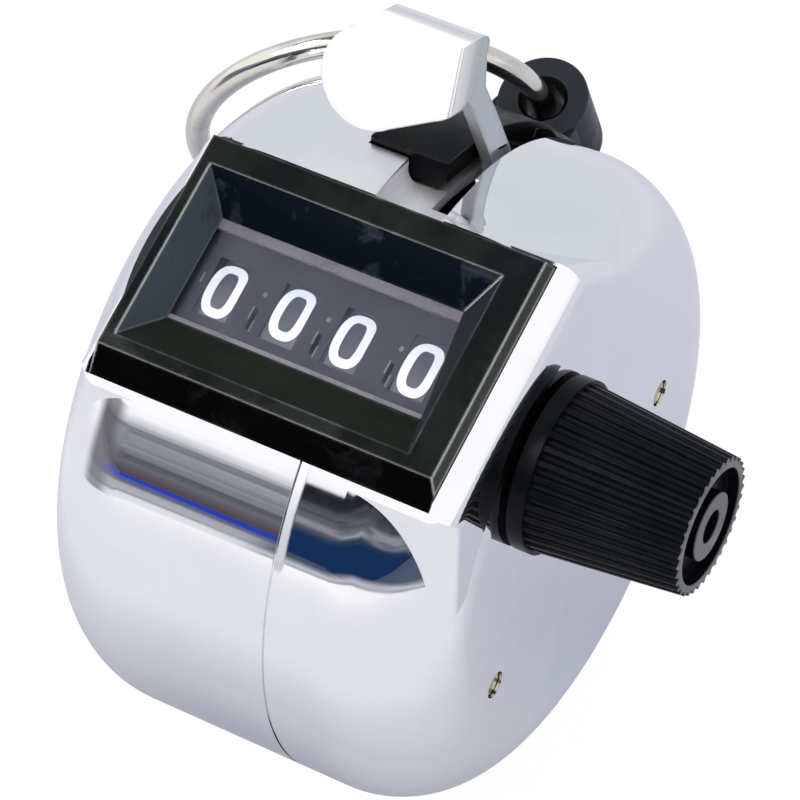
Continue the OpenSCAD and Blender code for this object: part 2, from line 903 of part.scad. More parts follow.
// The detent comb: a strip clipped to its rod, with a leaf for each ratchet ring
module detent_comb() {
    root = ratchet_d / 2 - ratchet_depth;
    rest_r = root + comb_t;
    lean = 150;
    tip = [axis_y + rest_r * cos(comb_from), axis_z + rest_r * sin(comb_from)];
    base = [rod_y, rod_z] + (rod_r + run_gap + comb_t / 2) * [cos(lean), sin(lean)];
    x0 = finger_x(0) - finger_w;
    x1 = finger_x(wheel_count - 1) + 2 * finger_w;
    color("goldenrod") {
        translate([0, rod_y, rod_z])
            difference() {
                bar(x0, x1 - x0, rod_r + comb_t + run_gap);
                bar(x0 - past, x1 - x0 + 2 * past, rod_r + run_gap);
            }
        for (place = [0 : wheel_count - 1])
            slab(finger_x(place), finger_w)
                strap(base, tip, comb_t);
    }
}

// The black guide that fills the channel behind the scoop and carries the lug
module lever_guide() {
    floor_rho = case_r - scoop_d + fit_gap;
    top_rho = case_r + guide_proud;
    x0 = channel_x0 + fit_gap;
    x1 = channel_x1 - fit_gap;
    from = channel_from + 0.4;
    to = channel_to - 0.4;
    bridge_x = lug_x;
    color([0.07, 0.07, 0.07])
        difference() {
            union() {
                guide_arc(x0, lever_x - slot_w / 2, floor_rho, top_rho, from, to);
                guide_arc(bridge_x, x1, floor_rho, top_rho - guide_proud, slot_to, to);
                lug_body();
            }
            rotate([-lug_angle, 0, 0])
                translate([lug_x, 0, lug_rho])
                    rotate([-90, 0, 0])
                        lug_hole();
        }
}

// The lug's hole: a flared mouth in front, and room behind for the curved wire
module lug_hole() {
    flare = 0.4;
    relief = 1.5;
    relief_from = 1.8;
    translate([0, 0, -lug_l])
        cylinder(h = 2 * lug_l, d = lug_bore);
    translate([0, 0, -lug_front - fit_gap])
        cylinder(h = flare + fit_gap, d1 = lug_bore + 2 * (flare + fit_gap), d2 = lug_bore);
    translate([0, 0, relief_from])
        cylinder(h = lug_l, d = lug_bore + relief);
}

// A block of the guide, bent round the barrel
module guide_arc(x0, x1, rho0, rho1, from, to) {
    rotate([0, 90, 0])
        rotate([0, 0, 180 - to])
            rotate_extrude(angle = to - from, $fn = 128)
                translate([rho0, x0]) {
                    translate([channel_corner, 0])
                        square([rho1 - rho0 - channel_corner, x1 - x0]);
                    translate([0, channel_corner])
                        square([channel_corner, x1 - x0 - 2 * channel_corner]);
                    translate([channel_corner, channel_corner])
                        circle(channel_corner);
                    translate([channel_corner, x1 - x0 - channel_corner])
                        circle(channel_corner);
                }
}

// The round lug on its neck, drilled along the barrel's tangent
module lug_body() {
    neck_side = 0.4;
    neck_top = 0.46;
    neck_right = 0.5;
    neck_left = 0.66;
    depth = lug_h - fit_gap;
    rotate([-lug_angle, 0, 0])
        translate([lug_x, -lug_front, lug_rho])
            rotate([-90, 0, 0]) {
                cylinder(h = lug_l, d = lug_d);
                translate([0, 0, neck_side])
                    linear_extrude(lug_l - 2 * neck_side)
                        polygon([[-lug_d * neck_top, 0], [lug_d * neck_top, 0],
                            [lug_d * neck_right, depth], [-lug_d * neck_left, depth]]);
            }
}

module finger_ring() {
    color("silver")
        translate([lug_x, lug_y, lug_z])
            rotate([-lug_angle, 0, 0])
                rotate([0, -ring_lean, 0])
                    translate([-ring_r, 0, 0])
                        rotate_extrude($fn = 96)
                            translate([ring_r, 0])
                                circle(d = ring_wire, $fn = 32);
}

left_case();
right_case();
window_bezel();
window_lens();
lever_guide();
thousands_wheel();
hundreds_wheel();
tens_wheel();
units_wheel();
wheel_shaft();
shaft_clip();
reset_knob();
knob_pin();
left_plate();
right_plate();
frame_posts();
case_rivet();
thumb_lever();
lever_pivot();
lever_spring();
drive_pawl();
pawl_pin();
detent_comb();
comb_rod();
finger_ring();
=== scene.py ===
"""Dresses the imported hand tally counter: chromed case, black window frame, number wheels, knob and ring.

Lengths are in metres and angles in degrees where nothing else is said.
"""

import logging
import math
from collections.abc import Callable
from dataclasses import dataclass, replace
from enum import Enum
from functools import reduce

import bmesh
import bpy
import numpy as np
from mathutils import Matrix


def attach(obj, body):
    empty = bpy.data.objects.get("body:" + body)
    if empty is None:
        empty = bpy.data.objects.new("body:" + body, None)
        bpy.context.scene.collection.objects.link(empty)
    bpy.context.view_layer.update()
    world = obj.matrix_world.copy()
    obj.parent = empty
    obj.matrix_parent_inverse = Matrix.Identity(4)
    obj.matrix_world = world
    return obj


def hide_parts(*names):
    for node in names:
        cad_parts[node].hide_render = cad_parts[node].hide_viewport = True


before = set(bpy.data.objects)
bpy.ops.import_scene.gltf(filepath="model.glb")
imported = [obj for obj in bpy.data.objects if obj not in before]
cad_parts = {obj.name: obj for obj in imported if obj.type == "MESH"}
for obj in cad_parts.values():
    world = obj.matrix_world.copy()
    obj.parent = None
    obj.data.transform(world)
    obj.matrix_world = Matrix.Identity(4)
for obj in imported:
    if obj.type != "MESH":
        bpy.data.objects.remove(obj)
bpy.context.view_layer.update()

LOG = logging.getLogger("tally_counter")
MM = 0.001
TILT = math.radians(25.0)  # angle of the window from level
WHITE = (1.0, 1.0, 1.0)

Array = np.ndarray
Pair = tuple[float, float]
Vector = tuple[float, float, float]
Colour = tuple[float, float, float]
Fade = tuple[float, float, Colour, Colour]
Material = bpy.types.Material
Socket = bpy.types.NodeSocket
Sockets = dict[str, Socket]
Tree = bpy.types.NodeTree


class Body(Enum):
    """The CAD bodies that new pieces ride on."""

    CASE = "case"
    THOUSANDS = "thousands"
    HUNDREDS = "hundreds"
    TENS = "tens"
    UNITS = "units"


class Slot(Enum):
    """The record's material slots, which are named with new pieces but not set on them."""

    WHEEL = "wheel_grey"
    FIGURE = "figure_white"
    FRAME = "black_gloss"


class Effect(Enum):
    """The shared effects, with the names of their node groups."""

    SMUDGES = "smudge_veil"
    SCRATCHES = "hair_scratches"
    GRAIN = "moulded_grain"
    DRAWN = "drawn_lines"


def put_in_scene(name: str, data: bpy.types.ID) -> bpy.types.Object:
    """Makes an object and links it into the scene.

    Args:
        name: Name of the object.
        data: Its mesh, camera or lamp.

    Returns:
        The new object.
    """
    thing = bpy.data.objects.new(name, data)
    bpy.context.scene.collection.objects.link(thing)
    return thing


def fresh_tree(owner: Material | bpy.types.World) -> Tree:
    """Turns on the nodes of a material or world.

    Args:
        owner: The material or world.

    Returns:
        Its tree, emptied.
    """
    owner.use_nodes = True
    owner.node_tree.nodes.clear()
    return owner.node_tree


class NodeSketch:
    """Adds nodes to one tree and wires them."""

    MAKES_VALUE = ("DOT_PRODUCT", "LENGTH", "DISTANCE")

    def __init__(self, tree: Tree) -> None:
        """Keeps the tree that is drawn on."""
        self.tree = tree

    def add(self, kind: str, inputs: dict | None = None, **settings: object) -> bpy.types.Node:
        """Adds one shader node.

        Args:
            kind: Blender's name of the node type, after ShaderNode.
            inputs: Values or sockets by input name; a socket is wired, a value is set.
            settings: Attributes of the node itself.

        Returns:
            The new node.
        """
        node = self.tree.nodes.new("ShaderNode" + kind)
        for name, value in settings.items():
            setattr(node, name, value)
        for name, value in (inputs or {}).items():
            self.feed(node.inputs[name], value)
        return node

    def feed(self, socket: Socket, value: object) -> None:
        """Wires a socket into an input, or sets the input to a plain value.

        Args:
            socket: The input.
            value: The socket or the value; a colour gets its alpha here, and None leaves the input as it is.
        """
        if isinstance(value, Socket):
            self.tree.links.new(value, socket)
        elif value is not None:
            socket.default_value = (*value, 1.0) if socket.type == "RGBA" else value

    def maths(self, operation: str, first: object, second: object = 0.0, clamp: bool = False) -> Socket:
        """Adds a Math node and returns its result."""
        return self.add("Math", {0: first, 1: second}, operation=operation, use_clamp=clamp).outputs[0]

    def times(self, *values: object) -> Socket:
        """Returns the product of two or more values."""
        return reduce(lambda product, value: self.maths("MULTIPLY", product, value), values)

    def vector(self, operation: str, first: object, second: object = (0.0, 0.0, 0.0)) -> Socket:
        """Adds a Vector Math node and returns its result."""
        node = self.add("VectorMath", {0: first, 1: second}, operation=operation)
        return node.outputs["Value" if operation in self.MAKES_VALUE else "Vector"]

    def parts(self, vector: Socket) -> Sockets:
        """Returns the X, Y and Z of a vector by name."""
        return self.add("SeparateXYZ", {"Vector": vector}).outputs

    def noise(self, place: Socket, scale: object, detail: float, rough: float = 0.5, warp: float = 0.0) -> Socket:
        """Adds a noise over a place and returns its value."""
        inputs = {"Vector": place, "Scale": scale, "Detail": detail, "Roughness": rough, "Distortion": warp}
        return self.add("TexNoise", inputs).outputs["Fac"]

    def span(self, value: object, low: float, high: float, out_low: float = 0.0, out_high: float = 1.0) -> Socket:
        """Maps a value smoothly from one range to another, which is 0 to 1 by itself, and returns the result."""
        ends = {"From Min": low, "From Max": high, "To Min": out_low, "To Max": out_high}
        return self.add("MapRange", {"Value": value, **ends}, interpolation_type="SMOOTHSTEP").outputs["Result"]

    def between(self, value: Socket, rise: Pair, fall: Pair) -> Socket:
        """Returns 1 from where a value has risen to where it begins to fall, and 0 outside."""
        return self.times(self.span(value, *rise), self.span(value, *fall, 1.0, 0.0))

    def blend(self, factor: object, first: object, second: object) -> Socket:
        """Mixes two colours by a factor and returns the colour."""
        return self.add("Mix", {0: factor, 6: first, 7: second}, data_type="RGBA").outputs[2]

    def fade(self, value: Socket, low: float, high: float, first: object, second: object) -> Socket:
        """Passes from the first colour to the second between two values and returns the colour."""
        return self.blend(self.span(value, low, high), first, second)

    def layer(self, factor: object, first: Socket, second: Socket) -> Socket:
        """Mixes two shaders by a factor and returns the shader."""
        return self.add("MixShader", {0: factor, 1: first, 2: second}).outputs[0]


class SurfaceEffects:
    """The shared effects, each one a node group that is built once."""

    # Turn and stretch of the two directions that hair scratches run in.
    HAIRS = (((0.3, 0.9, 0.2), (0.05, 1.0, 1.0)), ((1.1, 0.2, 0.8), (1.0, 0.06, 1.0)))
    HAIR_WIDTH = 0.012
    MOTTLE_SCALE = 260.0
    DRAWN_STRETCH = (0.03, 1.0, 1.0)

    def __init__(self) -> None:
        """Builds every group."""
        draws = (self._smudges, self._scratches, self._grain, self._drawn)
        self.groups = {effect: self._group(effect, draw) for effect, draw in zip(Effect, draws)}

    @staticmethod
    def _group(effect: Effect, draw: Callable[[NodeSketch, Socket, Socket], Sockets]) -> Tree:
        """Makes a group with a vector and a scale going in.

        Args:
            effect: The effect, which names the group.
            draw: Draws the effect from the vector and the scale and returns what goes out.

        Returns:
            The group.
        """
        tree = bpy.data.node_groups.new(effect.value, "ShaderNodeTree")
        for label, kind in (("Vector", "NodeSocketVector"), ("Scale", "NodeSocketFloat")):
            tree.interface.new_socket(label, in_out="INPUT", socket_type=kind)
        inner = tree.nodes.new("NodeGroupInput").outputs
        made = draw(NodeSketch(tree), inner["Vector"], inner["Scale"])
        for label in made:
            tree.interface.new_socket(label, in_out="OUTPUT", socket_type="NodeSocketFloat")
        outer = tree.nodes.new("NodeGroupOutput").inputs
        for label, socket in made.items():
            tree.links.new(socket, outer[label])
        return tree

    @staticmethod
    def _smudges(sketch: NodeSketch, place: Socket, scale: Socket) -> Sockets:
        """Soft patches of handling: broad noise, thresholded smoothly."""
        return {"Mask": sketch.span(sketch.noise(place, scale, detail=5.0, rough=0.62, warp=0.8), 0.42, 0.68)}

    @classmethod
    def _scratches(cls, sketch: NodeSketch, place: Socket, scale: Socket) -> Sockets:
        """Hair scratches: noise stretched along two directions, kept where it is close to its middle.

        Args:
            sketch: The group's nodes.
            place: The vector that goes in.
            scale: The scale that goes in.

        Returns:
            The mask.
        """
        found = []
        for turn, stretch in cls.HAIRS:
            mapped = sketch.add("Mapping", {"Vector": place, "Rotation": turn, "Scale": stretch}).outputs[0]
            off = sketch.maths("ABSOLUTE", sketch.maths("SUBTRACT", sketch.noise(mapped, scale, detail=2.0), 0.5))
            found.append(sketch.span(off, 0.0, cls.HAIR_WIDTH, 1.0, 0.0))
        return {"Mask": sketch.maths("MAXIMUM", *found)}

    @classmethod
    def _grain(cls, sketch: NodeSketch, place: Socket, scale: Socket) -> Sockets:
        """Moulded plastic: a fine pebble height and a slow mottle."""
        slow = sketch.noise(place, cls.MOTTLE_SCALE, detail=4.0, rough=0.6)
        pebble = sketch.noise(place, scale, detail=3.0, rough=0.55)
        return {"Height": pebble, "Mottle": sketch.span(slow, 0.38, 0.66)}

    @classmethod
    def _drawn(cls, sketch: NodeSketch, place: Socket, scale: Socket) -> Sockets:
        """Rolled or turned metal: noise stretched far along one axis."""
        lines = sketch.noise(sketch.vector("MULTIPLY", place, cls.DRAWN_STRETCH), scale, detail=3.0, rough=0.6)
        return {"Height": lines, "Tone": sketch.span(lines, 0.35, 0.65)}


class MaterialSketch(NodeSketch):
    """One material with a Principled shader, on Object coordinates."""

    FLAT = 0.995  # meeting of the rounded and the flat normal that is no edge
    BEVEL_SAMPLES = 6

    def __init__(self, name: str, effects: SurfaceEffects) -> None:
        """Starts an empty material.

        Args:
            name: The material's name.
            effects: The shared node groups.
        """
        self.material = bpy.data.materials.new(name)
        super().__init__(fresh_tree(self.material))
        self.effects = effects
        self.place = self.add("TexCoord").outputs["Object"]
        self.glint: Socket | None = None
        self.shader = self.add("BsdfPrincipled")
        self.out = self.add("OutputMaterial", {"Surface": self.shader.outputs[0]})

    def effect(self, effect: Effect, scale: float) -> Sockets:
        """Places a shared effect at a scale and returns its outputs by name."""
        tree = self.effects.groups[effect]
        return self.add("Group", {"Vector": self.place, "Scale": scale}, node_tree=tree).outputs

    def set(self, **values: object) -> None:
        """Sets or wires the shader's inputs; underscores stand for spaces."""
        for name, value in values.items():
            self.feed(self.shader.inputs[name.replace("_", " ")], value)

    def show(self, shader: Socket) -> None:
        """Puts a shader on the surface."""
        self.feed(self.out.inputs["Surface"], shader)

    def axes(self) -> Sockets:
        """Returns the place on the object as X, Y and Z."""
        return self.parts(self.place)

    def facing(self, towards: object) -> Socket:
        """Returns how far each face points in a direction, from -1 to 1."""
        return self.vector("DOT_PRODUCT", self.add("NewGeometry").outputs["Normal"], towards)

    def rounded(self, radius: float) -> Socket | None:
        """Returns the normal with its edges rounded by a radius, or None for a radius of 0."""
        return self.add("Bevel", {"Radius": radius}, samples=self.BEVEL_SAMPLES).outputs["Normal"] if radius else None

    def edges(self, radius: float, sharp: float) -> tuple[Socket, Socket]:
        """Returns a mask of the edges, full where rounded and flat normal meet by less than sharp, and the former."""
        rounded = self.rounded(radius)
        return self.span(self.facing(rounded), sharp, self.FLAT, 1.0, 0.0), rounded

    def bump(self, height: Socket, strength: float, depth: float, normal: Socket | None = None) -> Socket:
        """Raises the surface by a height, from a normal or the plain one, and returns the new normal."""
        inputs = {"Height": height, "Strength": strength, "Distance": depth, "Normal": normal}
        return self.add("Bump", inputs).outputs["Normal"]


@dataclass(frozen=True)
class Finish:
    """A look that pieces can have.

    Attributes:
        name: Name of the finish.
    """

    name: str

    def draw(self, sketch: MaterialSketch) -> None:
        """Draws the finish on a new material; each kind has its own way."""
        raise NotImplementedError


@dataclass(frozen=True)
class MetalFinish(Finish):
    """Bright metal with handling marks.

    Attributes:
        tint: Colour where it is clean.
        dull: Colour where it has been handled.
        gloss: Lowest and highest roughness.
        smudge_scale: Scale of the handling marks.
        scratch: How much hair scratches roughen it.
        wave: Strength of the slow waviness of the plating.
        lines: Strength of drawn or rolled lines, 0 for a plated surface.
        edge: Radius that shaded edges are rounded by.
        lean: Slope of its faces against true, as a pressed sheet has, along each axis.
        side: Colour of the painted shade on its faces along X, None where they are as the rest.
        rim_shade: Colour of the painted shade on its rim and bends, which are also made duller; None for none.
        lip: Places along X between which a rolled lip is brushed under the window; None for none.
        scoop: Places along X between which the thumb scoop is brushed; None for none.
        rub_and_sheen: Middle and reach of the patch that the thumb has dulled by rubbing; None for none.
    """

    tint: Colour
    dull: Colour
    gloss: Pair
    smudge_scale: float = 140.0
    scratch: float = 0.05
    wave: float = 0.02
    lines: float = 0.0
    edge: float = 0.0
    lean: Vector = (0.0, 0.0, 0.0)
    side: Colour | None = None
    rim_shade: Colour | None = None
    lip: Pair | None = None
    scoop: Pair | None = None
    rub_and_sheen: tuple[Vector, float] | None = None

    SCRATCH_SCALE = 260.0
    LINE_SCALE, LINE_DEPTH, LINE_SHARE = 1500.0, 0.02 * MM, 0.35
    WAVE_SCALE, WAVE_DEPTH = 90.0, 1.0 * MM
    RIM, RIM_WIDTH = 0.9, 0.7 * MM
    FRONT = (0.0, -0.933, 0.360)  # direction of the face that the rim goes round
    BEND = ((0.25, 0.4), (0.95, 0.995))  # facing to the front, where the bends that get the rim's painted shade and dullness begin and end
    SIDEWAYS = (0.6, 0.9)  # facing along X, where the side's painted shade begins and is full
    SKIN = 22.35 * MM  # radius of the barrel, which the scoop lies under
    SOFT = 0.1 * MM
    LIP_FOOT, SCOOP_FOOT = (7.5 * MM, 9.0 * MM), (16.0 * MM, 18.0 * MM)  # along Z
    BRUSHED = 0.5  # roughness that brushing adds
    RUBBED, RUB_CORE = 0.4, 0.4  # roughness that rubbing adds, and the share of the patch that has all of it

    def brushed(self, sketch: MaterialSketch, rough: Socket) -> Socket:
        """Roughens the rolled lip, the scoop and the patch that the thumb has dulled.

        The scoop is where the distance from the drum's axis, the length of Y and Z, is less than the barrel's.

        Args:
            sketch: The material.
            rough: Its roughness so far.

        Returns:
            The roughness with these places.
        """
        axes = sketch.axes()
        across = sketch.add("CombineXYZ", {"Y": axes["Y"], "Z": axes["Z"]}).outputs[0]
        sunk = sketch.span(sketch.vector("LENGTH", across), self.SKIN, self.SKIN + self.SOFT, 1.0, 0.0)
        for place, foot, share in ((self.lip, self.LIP_FOOT, 1.0), (self.scoop, self.SCOOP_FOOT, sunk)):
            if place:
                start, end = place
                along = sketch.between(axes["X"], (start - self.SOFT, start), (end, end + 3 * self.SOFT))
                above = sketch.span(axes["Z"], *foot)
                rough = sketch.maths("ADD", rough, sketch.times(along, above, share, self.BRUSHED))
        if self.rub_and_sheen:
            middle, reach = self.rub_and_sheen
            gap = sketch.vector("DISTANCE", sketch.place, middle)
            rough = sketch.maths("ADD", rough, sketch.span(gap, self.RUB_CORE * reach, reach, self.RUBBED, 0.0))
        return rough

    def draw(self, sketch: MaterialSketch) -> None:
        """Draws the metal.

        Args:
            sketch: The material to draw on.
        """
        smudge = sketch.effect(Effect.SMUDGES, self.smudge_scale)["Mask"]
        scratch = sketch.effect(Effect.SCRATCHES, self.SCRATCH_SCALE)["Mask"]
        colour = sketch.blend(smudge, self.tint, self.dull)
        rough = sketch.maths("ADD", sketch.times(scratch, self.scratch), sketch.span(smudge, 0.0, 1.0, *self.gloss))
        if self.lines:
            drawn = sketch.effect(Effect.DRAWN, self.LINE_SCALE)
            colour = sketch.blend(sketch.times(drawn["Tone"], self.LINE_SHARE), colour, self.dull)
            relief = (drawn["Height"], self.lines, self.LINE_DEPTH)
        else:
            relief = (sketch.noise(sketch.place, self.WAVE_SCALE, detail=1.0), self.wave, self.WAVE_DEPTH)
        normal = sketch.bump(*relief, sketch.rounded(self.edge))
        # Painted shade on the rim and the bends; they are also made duller.
        if self.rim_shade:
            bend = sketch.between(sketch.facing(self.FRONT), *self.BEND)
            rim = sketch.maths("MAXIMUM", sketch.edges(self.RIM_WIDTH, self.RIM)[0], bend)
            colour = sketch.blend(rim, colour, self.rim_shade)
            rough = sketch.maths("ADD", rough, sketch.times(rim, self.BRUSHED))
        # Painted shade on the faces along X.
        if self.side:
            across = sketch.maths("ABSOLUTE", sketch.facing((1.0, 0.0, 0.0)))
            colour = sketch.fade(across, *self.SIDEWAYS, colour, self.side)
        if self.lip or self.scoop:
            rough = self.brushed(sketch, rough)
        if any(self.lean):
            normal = sketch.bump(sketch.vector("DOT_PRODUCT", sketch.place, self.lean), 1.0, 1.0, normal)
        sketch.set(Base_Color=colour, Metallic=1.0, Roughness=rough, Normal=normal)


@dataclass(frozen=True)
class PlasticFinish(Finish):
    """Moulded plastic, from gloss to matt.

    Attributes:
        tint: Colour of most of the surface.
        mottle: Colour of the slow patches.
        gloss: Lowest and highest roughness.
        grain: Strength of the pebble grain.
        grain_scale: Scale of the pebble grain.
        shine: Specular level.
        edge: Radius that shaded edges are rounded by.
        pale_from: Distance along X past which the end is paler, more so where mottled; 0 for none.
        pale_end_and_highlight: Colour of the paler end, and of the painted highlights on its edges.
        edge_highlight: Strength of the painted highlight along its edges where smudged, from 0 to 1.
        glints: Directions of the edges that get the painted highlight in full, as edges that catch the light.
        far: Place along Y past which it is painted paler, as a lit copy of the same plastic, and its colour there; None
            for none.
        bore: A point on the middle line of a bore whose inside is painted dark as shade, the line's direction and its
            radius; None for none.
    """

    tint: Colour
    mottle: Colour
    gloss: Pair
    grain: float = 0.1
    grain_scale: float = 2600.0
    shine: float = 0.5
    edge: float = 0.0
    pale_from: float = 0.0
    pale_end_and_highlight: Colour = (0.2, 0.2, 0.2)
    edge_highlight: float = 0.0
    glints: tuple[Vector, ...] = ()
    far: tuple[float, Colour] | None = None
    bore: tuple[Vector, Vector, float] | None = None

    SMUDGE_SCALE, GRAIN_DEPTH = 180.0, 0.05 * MM
    FAR_SOFT, BORE_SOFT, WORN_SOFT = 2.0 * MM, 0.1 * MM, 0.05 * MM
    # Painted shade inside the bore, near black.
    BORE_SHADE = (0.0006, 0.0006, 0.0006)
    LEAST_PALE = 0.75
    EDGE, GLINT = 0.93, (0.9, 0.96)  # meetings of normals that make an edge and a glint

    def draw(self, sketch: MaterialSketch) -> None:
        """Draws the plastic.

        A point is as far from the bore's middle line as the cross product with the line's direction is long.

        Args:
            sketch: The material to draw on.
        """
        grain = sketch.effect(Effect.GRAIN, self.grain_scale)
        smudge = sketch.effect(Effect.SMUDGES, self.SMUDGE_SCALE)["Mask"]
        colour = sketch.blend(grain["Mottle"], self.tint, self.mottle)
        # Painted light: past a place along Y the plastic is paler, as though lit.
        if self.far:
            start, pale = self.far
            colour = sketch.fade(sketch.axes()["Y"], start, start + self.FAR_SOFT, colour, pale)
        # Painted shade: inside the bore turns near black.
        if self.bore:
            middle, along, radius = self.bore
            turned = sketch.vector("CROSS_PRODUCT", sketch.vector("SUBTRACT", sketch.place, middle), along)
            inside = sketch.span(sketch.vector("LENGTH", turned), radius, radius + self.BORE_SOFT, 1.0, 0.0)
            colour = sketch.blend(inside, colour, self.BORE_SHADE)
        # The end past a place along X is paler, more so where mottled.
        if self.pale_from:
            end = sketch.span(sketch.axes()["X"], self.pale_from, self.pale_from + self.WORN_SOFT)
            pale_share = sketch.times(end, sketch.span(grain["Mottle"], 0.0, 1.0, self.LEAST_PALE, 1.0))
            colour = sketch.blend(pale_share, colour, self.pale_end_and_highlight)
        # Painted highlights along the edges: patchy where smudged, and full on edges that face a glint direction.
        if self.edge_highlight:
            edge, rounded = sketch.edges(self.edge, self.EDGE)
            rub_and_sheen = sketch.times(smudge, self.edge_highlight)
            for glint in self.glints:
                meet = sketch.vector("DOT_PRODUCT", rounded, glint)
                rub_and_sheen = sketch.maths("MAXIMUM", rub_and_sheen, sketch.span(meet, *self.GLINT))
            sketch.glint = sketch.times(edge, rub_and_sheen)
            colour = sketch.blend(sketch.glint, colour, self.pale_end_and_highlight)
        sketch.set(
            Base_Color=colour,
            Roughness=sketch.span(smudge, 0.0, 1.0, *self.gloss),
            Specular_IOR_Level=self.shine,
            Normal=sketch.bump(grain["Height"], self.grain, self.GRAIN_DEPTH, sketch.rounded(self.edge)),
        )


@dataclass(frozen=True)
class PaintedWallShade:
    """The painted light and shade that take the place of the gloss on faces that point one way, in the window's recess
    and on its chin.

    Attributes:
        towards: Direction that the faces point in.
        colour: Colour painted on them for the light and shade that falls there.
        smear_and_sheen: Colour of the finger smears on them, which are real marks painted lighter as a sheen.
        painted_share: Share of the gloss that the painted colour takes the place of, from 0 to 1.
    """

    towards: Vector
    colour: Colour
    smear_and_sheen: Colour
    painted_share: float


@dataclass(frozen=True)
class BezelFinish(PlasticFinish):
    """Gloss plastic whose recess walls and chin are painted with the light and shade that they face, and smeared by
    fingers.

    Attributes:
        walls: The painted light and shade of the recess walls and of the chin.
    """

    walls: tuple[PaintedWallShade, ...] = (
        PaintedWallShade((0.0, -0.973, 0.230), (0.003, 0.006, 0.012), (0.030, 0.040, 0.055), 0.94),
        PaintedWallShade((0.0, 0.286, 0.958), (0.020, 0.027, 0.019), (0.024, 0.032, 0.026), 0.55),
        PaintedWallShade((0.907, -0.178, 0.382), (0.085, 0.115, 0.140), (0.060, 0.080, 0.095), 0.80),
        PaintedWallShade((-0.830, -0.236, 0.506), (0.020, 0.027, 0.031), (0.030, 0.038, 0.042), 0.92),
        PaintedWallShade((0.0, -0.840, 0.543), (0.0012, 0.0010, 0.0014), (0.004, 0.004, 0.005), 0.93),
    )

    SMEAR_SCALE, SMEARED, WIPE_SCALE, WIPED = 330.0, (0.55, 1.0), 220.0, 0.5
    ON_WALL = (0.95, 0.985)  # facing along a wall's direction, where its painted light and shade begin and are full
    HELD_BY_SMEAR = 0.8

    def draw(self, sketch: MaterialSketch) -> None:
        """Draws the plastic and lays each wall's painted light and shade and its smears on it.

        Args:
            sketch: The material to draw on.
        """
        super().draw(sketch)
        patch = sketch.effect(Effect.SMUDGES, self.SMEAR_SCALE)["Mask"]
        wipe = sketch.effect(Effect.SCRATCHES, self.WIPE_SCALE)["Mask"]
        marks = sketch.times(sketch.span(patch, *self.SMEARED), sketch.span(wipe, 0.0, 1.0, self.WIPED, 1.0))
        surface = sketch.shader.outputs[0]
        for wall in self.walls:
            # Painted light and shade for this wall, with the smears painted lighter as a sheen.
            tone = sketch.add("BsdfDiffuse", {"Color": sketch.blend(marks, wall.colour, wall.smear_and_sheen)}).outputs[0]
            on_wall = sketch.span(sketch.facing(wall.towards), *self.ON_WALL, 0.0, wall.painted_share)
            painted_share = sketch.times(on_wall, sketch.span(marks, 0.0, 1.0, 1.0, self.HELD_BY_SMEAR))
            if sketch.glint is not None:
                painted_share = sketch.times(painted_share, sketch.maths("SUBTRACT", 1.0, sketch.glint))
            surface = sketch.layer(painted_share, surface, tone)
        sketch.show(surface)


@dataclass(frozen=True)
class MaskFinish(PlasticFinish):
    """Matt plastic of a sheet so thin that it throws no shade on what lies under it."""

    def draw(self, sketch: MaterialSketch) -> None:
        """Draws the plastic and lets light rays through.

        Args:
            sketch: The material to draw on.
        """
        super().draw(sketch)
        path = sketch.add("LightPath").outputs
        through = sketch.maths("MAXIMUM", path["Is Shadow Ray"], path["Is Diffuse Ray"])
        sketch.show(sketch.layer(through, sketch.shader.outputs[0], sketch.add("BsdfTransparent").outputs[0]))


@dataclass(frozen=True)
class LensFinish(Finish):
    """Clear moulded lens with a light haze of handling and painted highlights along its upper and lower edges.

    Attributes:
        tint: Colour of the light that it lets through.
        haze: Colour where it has been handled.
        gloss: Lowest and highest roughness.
        slope: Direction up the window's slope.
        upper: Places up the slope where the painted highlight on the upper edge begins and is full, and how strong it
            is.
        lower: Places up the slope where the painted highlight on the lower edge is full and ends, and how strong it is.
        pale: Colour of the painted highlights on the edges.
    """

    tint: Colour = (0.93, 0.94, 0.97)
    haze: Colour = (0.86, 0.88, 0.93)
    gloss: Pair = (0.02, 0.09)
    slope: Vector = (0.0, math.cos(TILT), math.sin(TILT))
    upper: tuple[float, float, float] = (3.0 * MM, 3.08 * MM, 0.6)
    lower: tuple[float, float, float] = (-3.48 * MM, -3.42 * MM, 0.8)
    pale: Colour = (0.30, 0.29, 0.33)

    SMUDGE_SCALE = 210.0
    GRAIN_SCALE, GRAIN, GRAIN_DEPTH = 900.0, 0.02, 0.02 * MM
    ACRYLIC = 1.49  # refractive index
    MOTTLED = 0.7

    def draw(self, sketch: MaterialSketch) -> None:
        """Draws clear plastic that lets light through to the wheels.

        Args:
            sketch: The material to draw on.
        """
        smudge = sketch.effect(Effect.SMUDGES, self.SMUDGE_SCALE)["Mask"]
        grain = sketch.effect(Effect.GRAIN, self.GRAIN_SCALE)
        sketch.set(
            Base_Color=sketch.blend(smudge, self.tint, self.haze),
            Roughness=sketch.span(smudge, 0.0, 1.0, *self.gloss),
            IOR=self.ACRYLIC,
            Transmission_Weight=1.0,
            Normal=sketch.bump(grain["Height"], self.GRAIN, self.GRAIN_DEPTH),
        )
        clear = sketch.add("BsdfTransparent", {"Color": self.tint}).outputs[0]
        glass = sketch.layer(sketch.add("LightPath").outputs["Is Shadow Ray"], sketch.shader.outputs[0], clear)
        # Painted highlights along the lens's upper and lower edges, patchy with the mottle.
        up = sketch.vector("DOT_PRODUCT", sketch.place, self.slope)
        (start, full, most), (low, end, least) = self.upper, self.lower
        edge = sketch.maths("MAXIMUM", sketch.span(up, start, full, 0.0, most), sketch.span(up, low, end, least, 0.0))
        edge = sketch.times(edge, sketch.span(grain["Mottle"], 0.0, 1.0, 1.0, self.MOTTLED))
        sketch.show(sketch.layer(edge, glass, sketch.add("BsdfDiffuse", {"Color": self.pale}).outputs[0]))


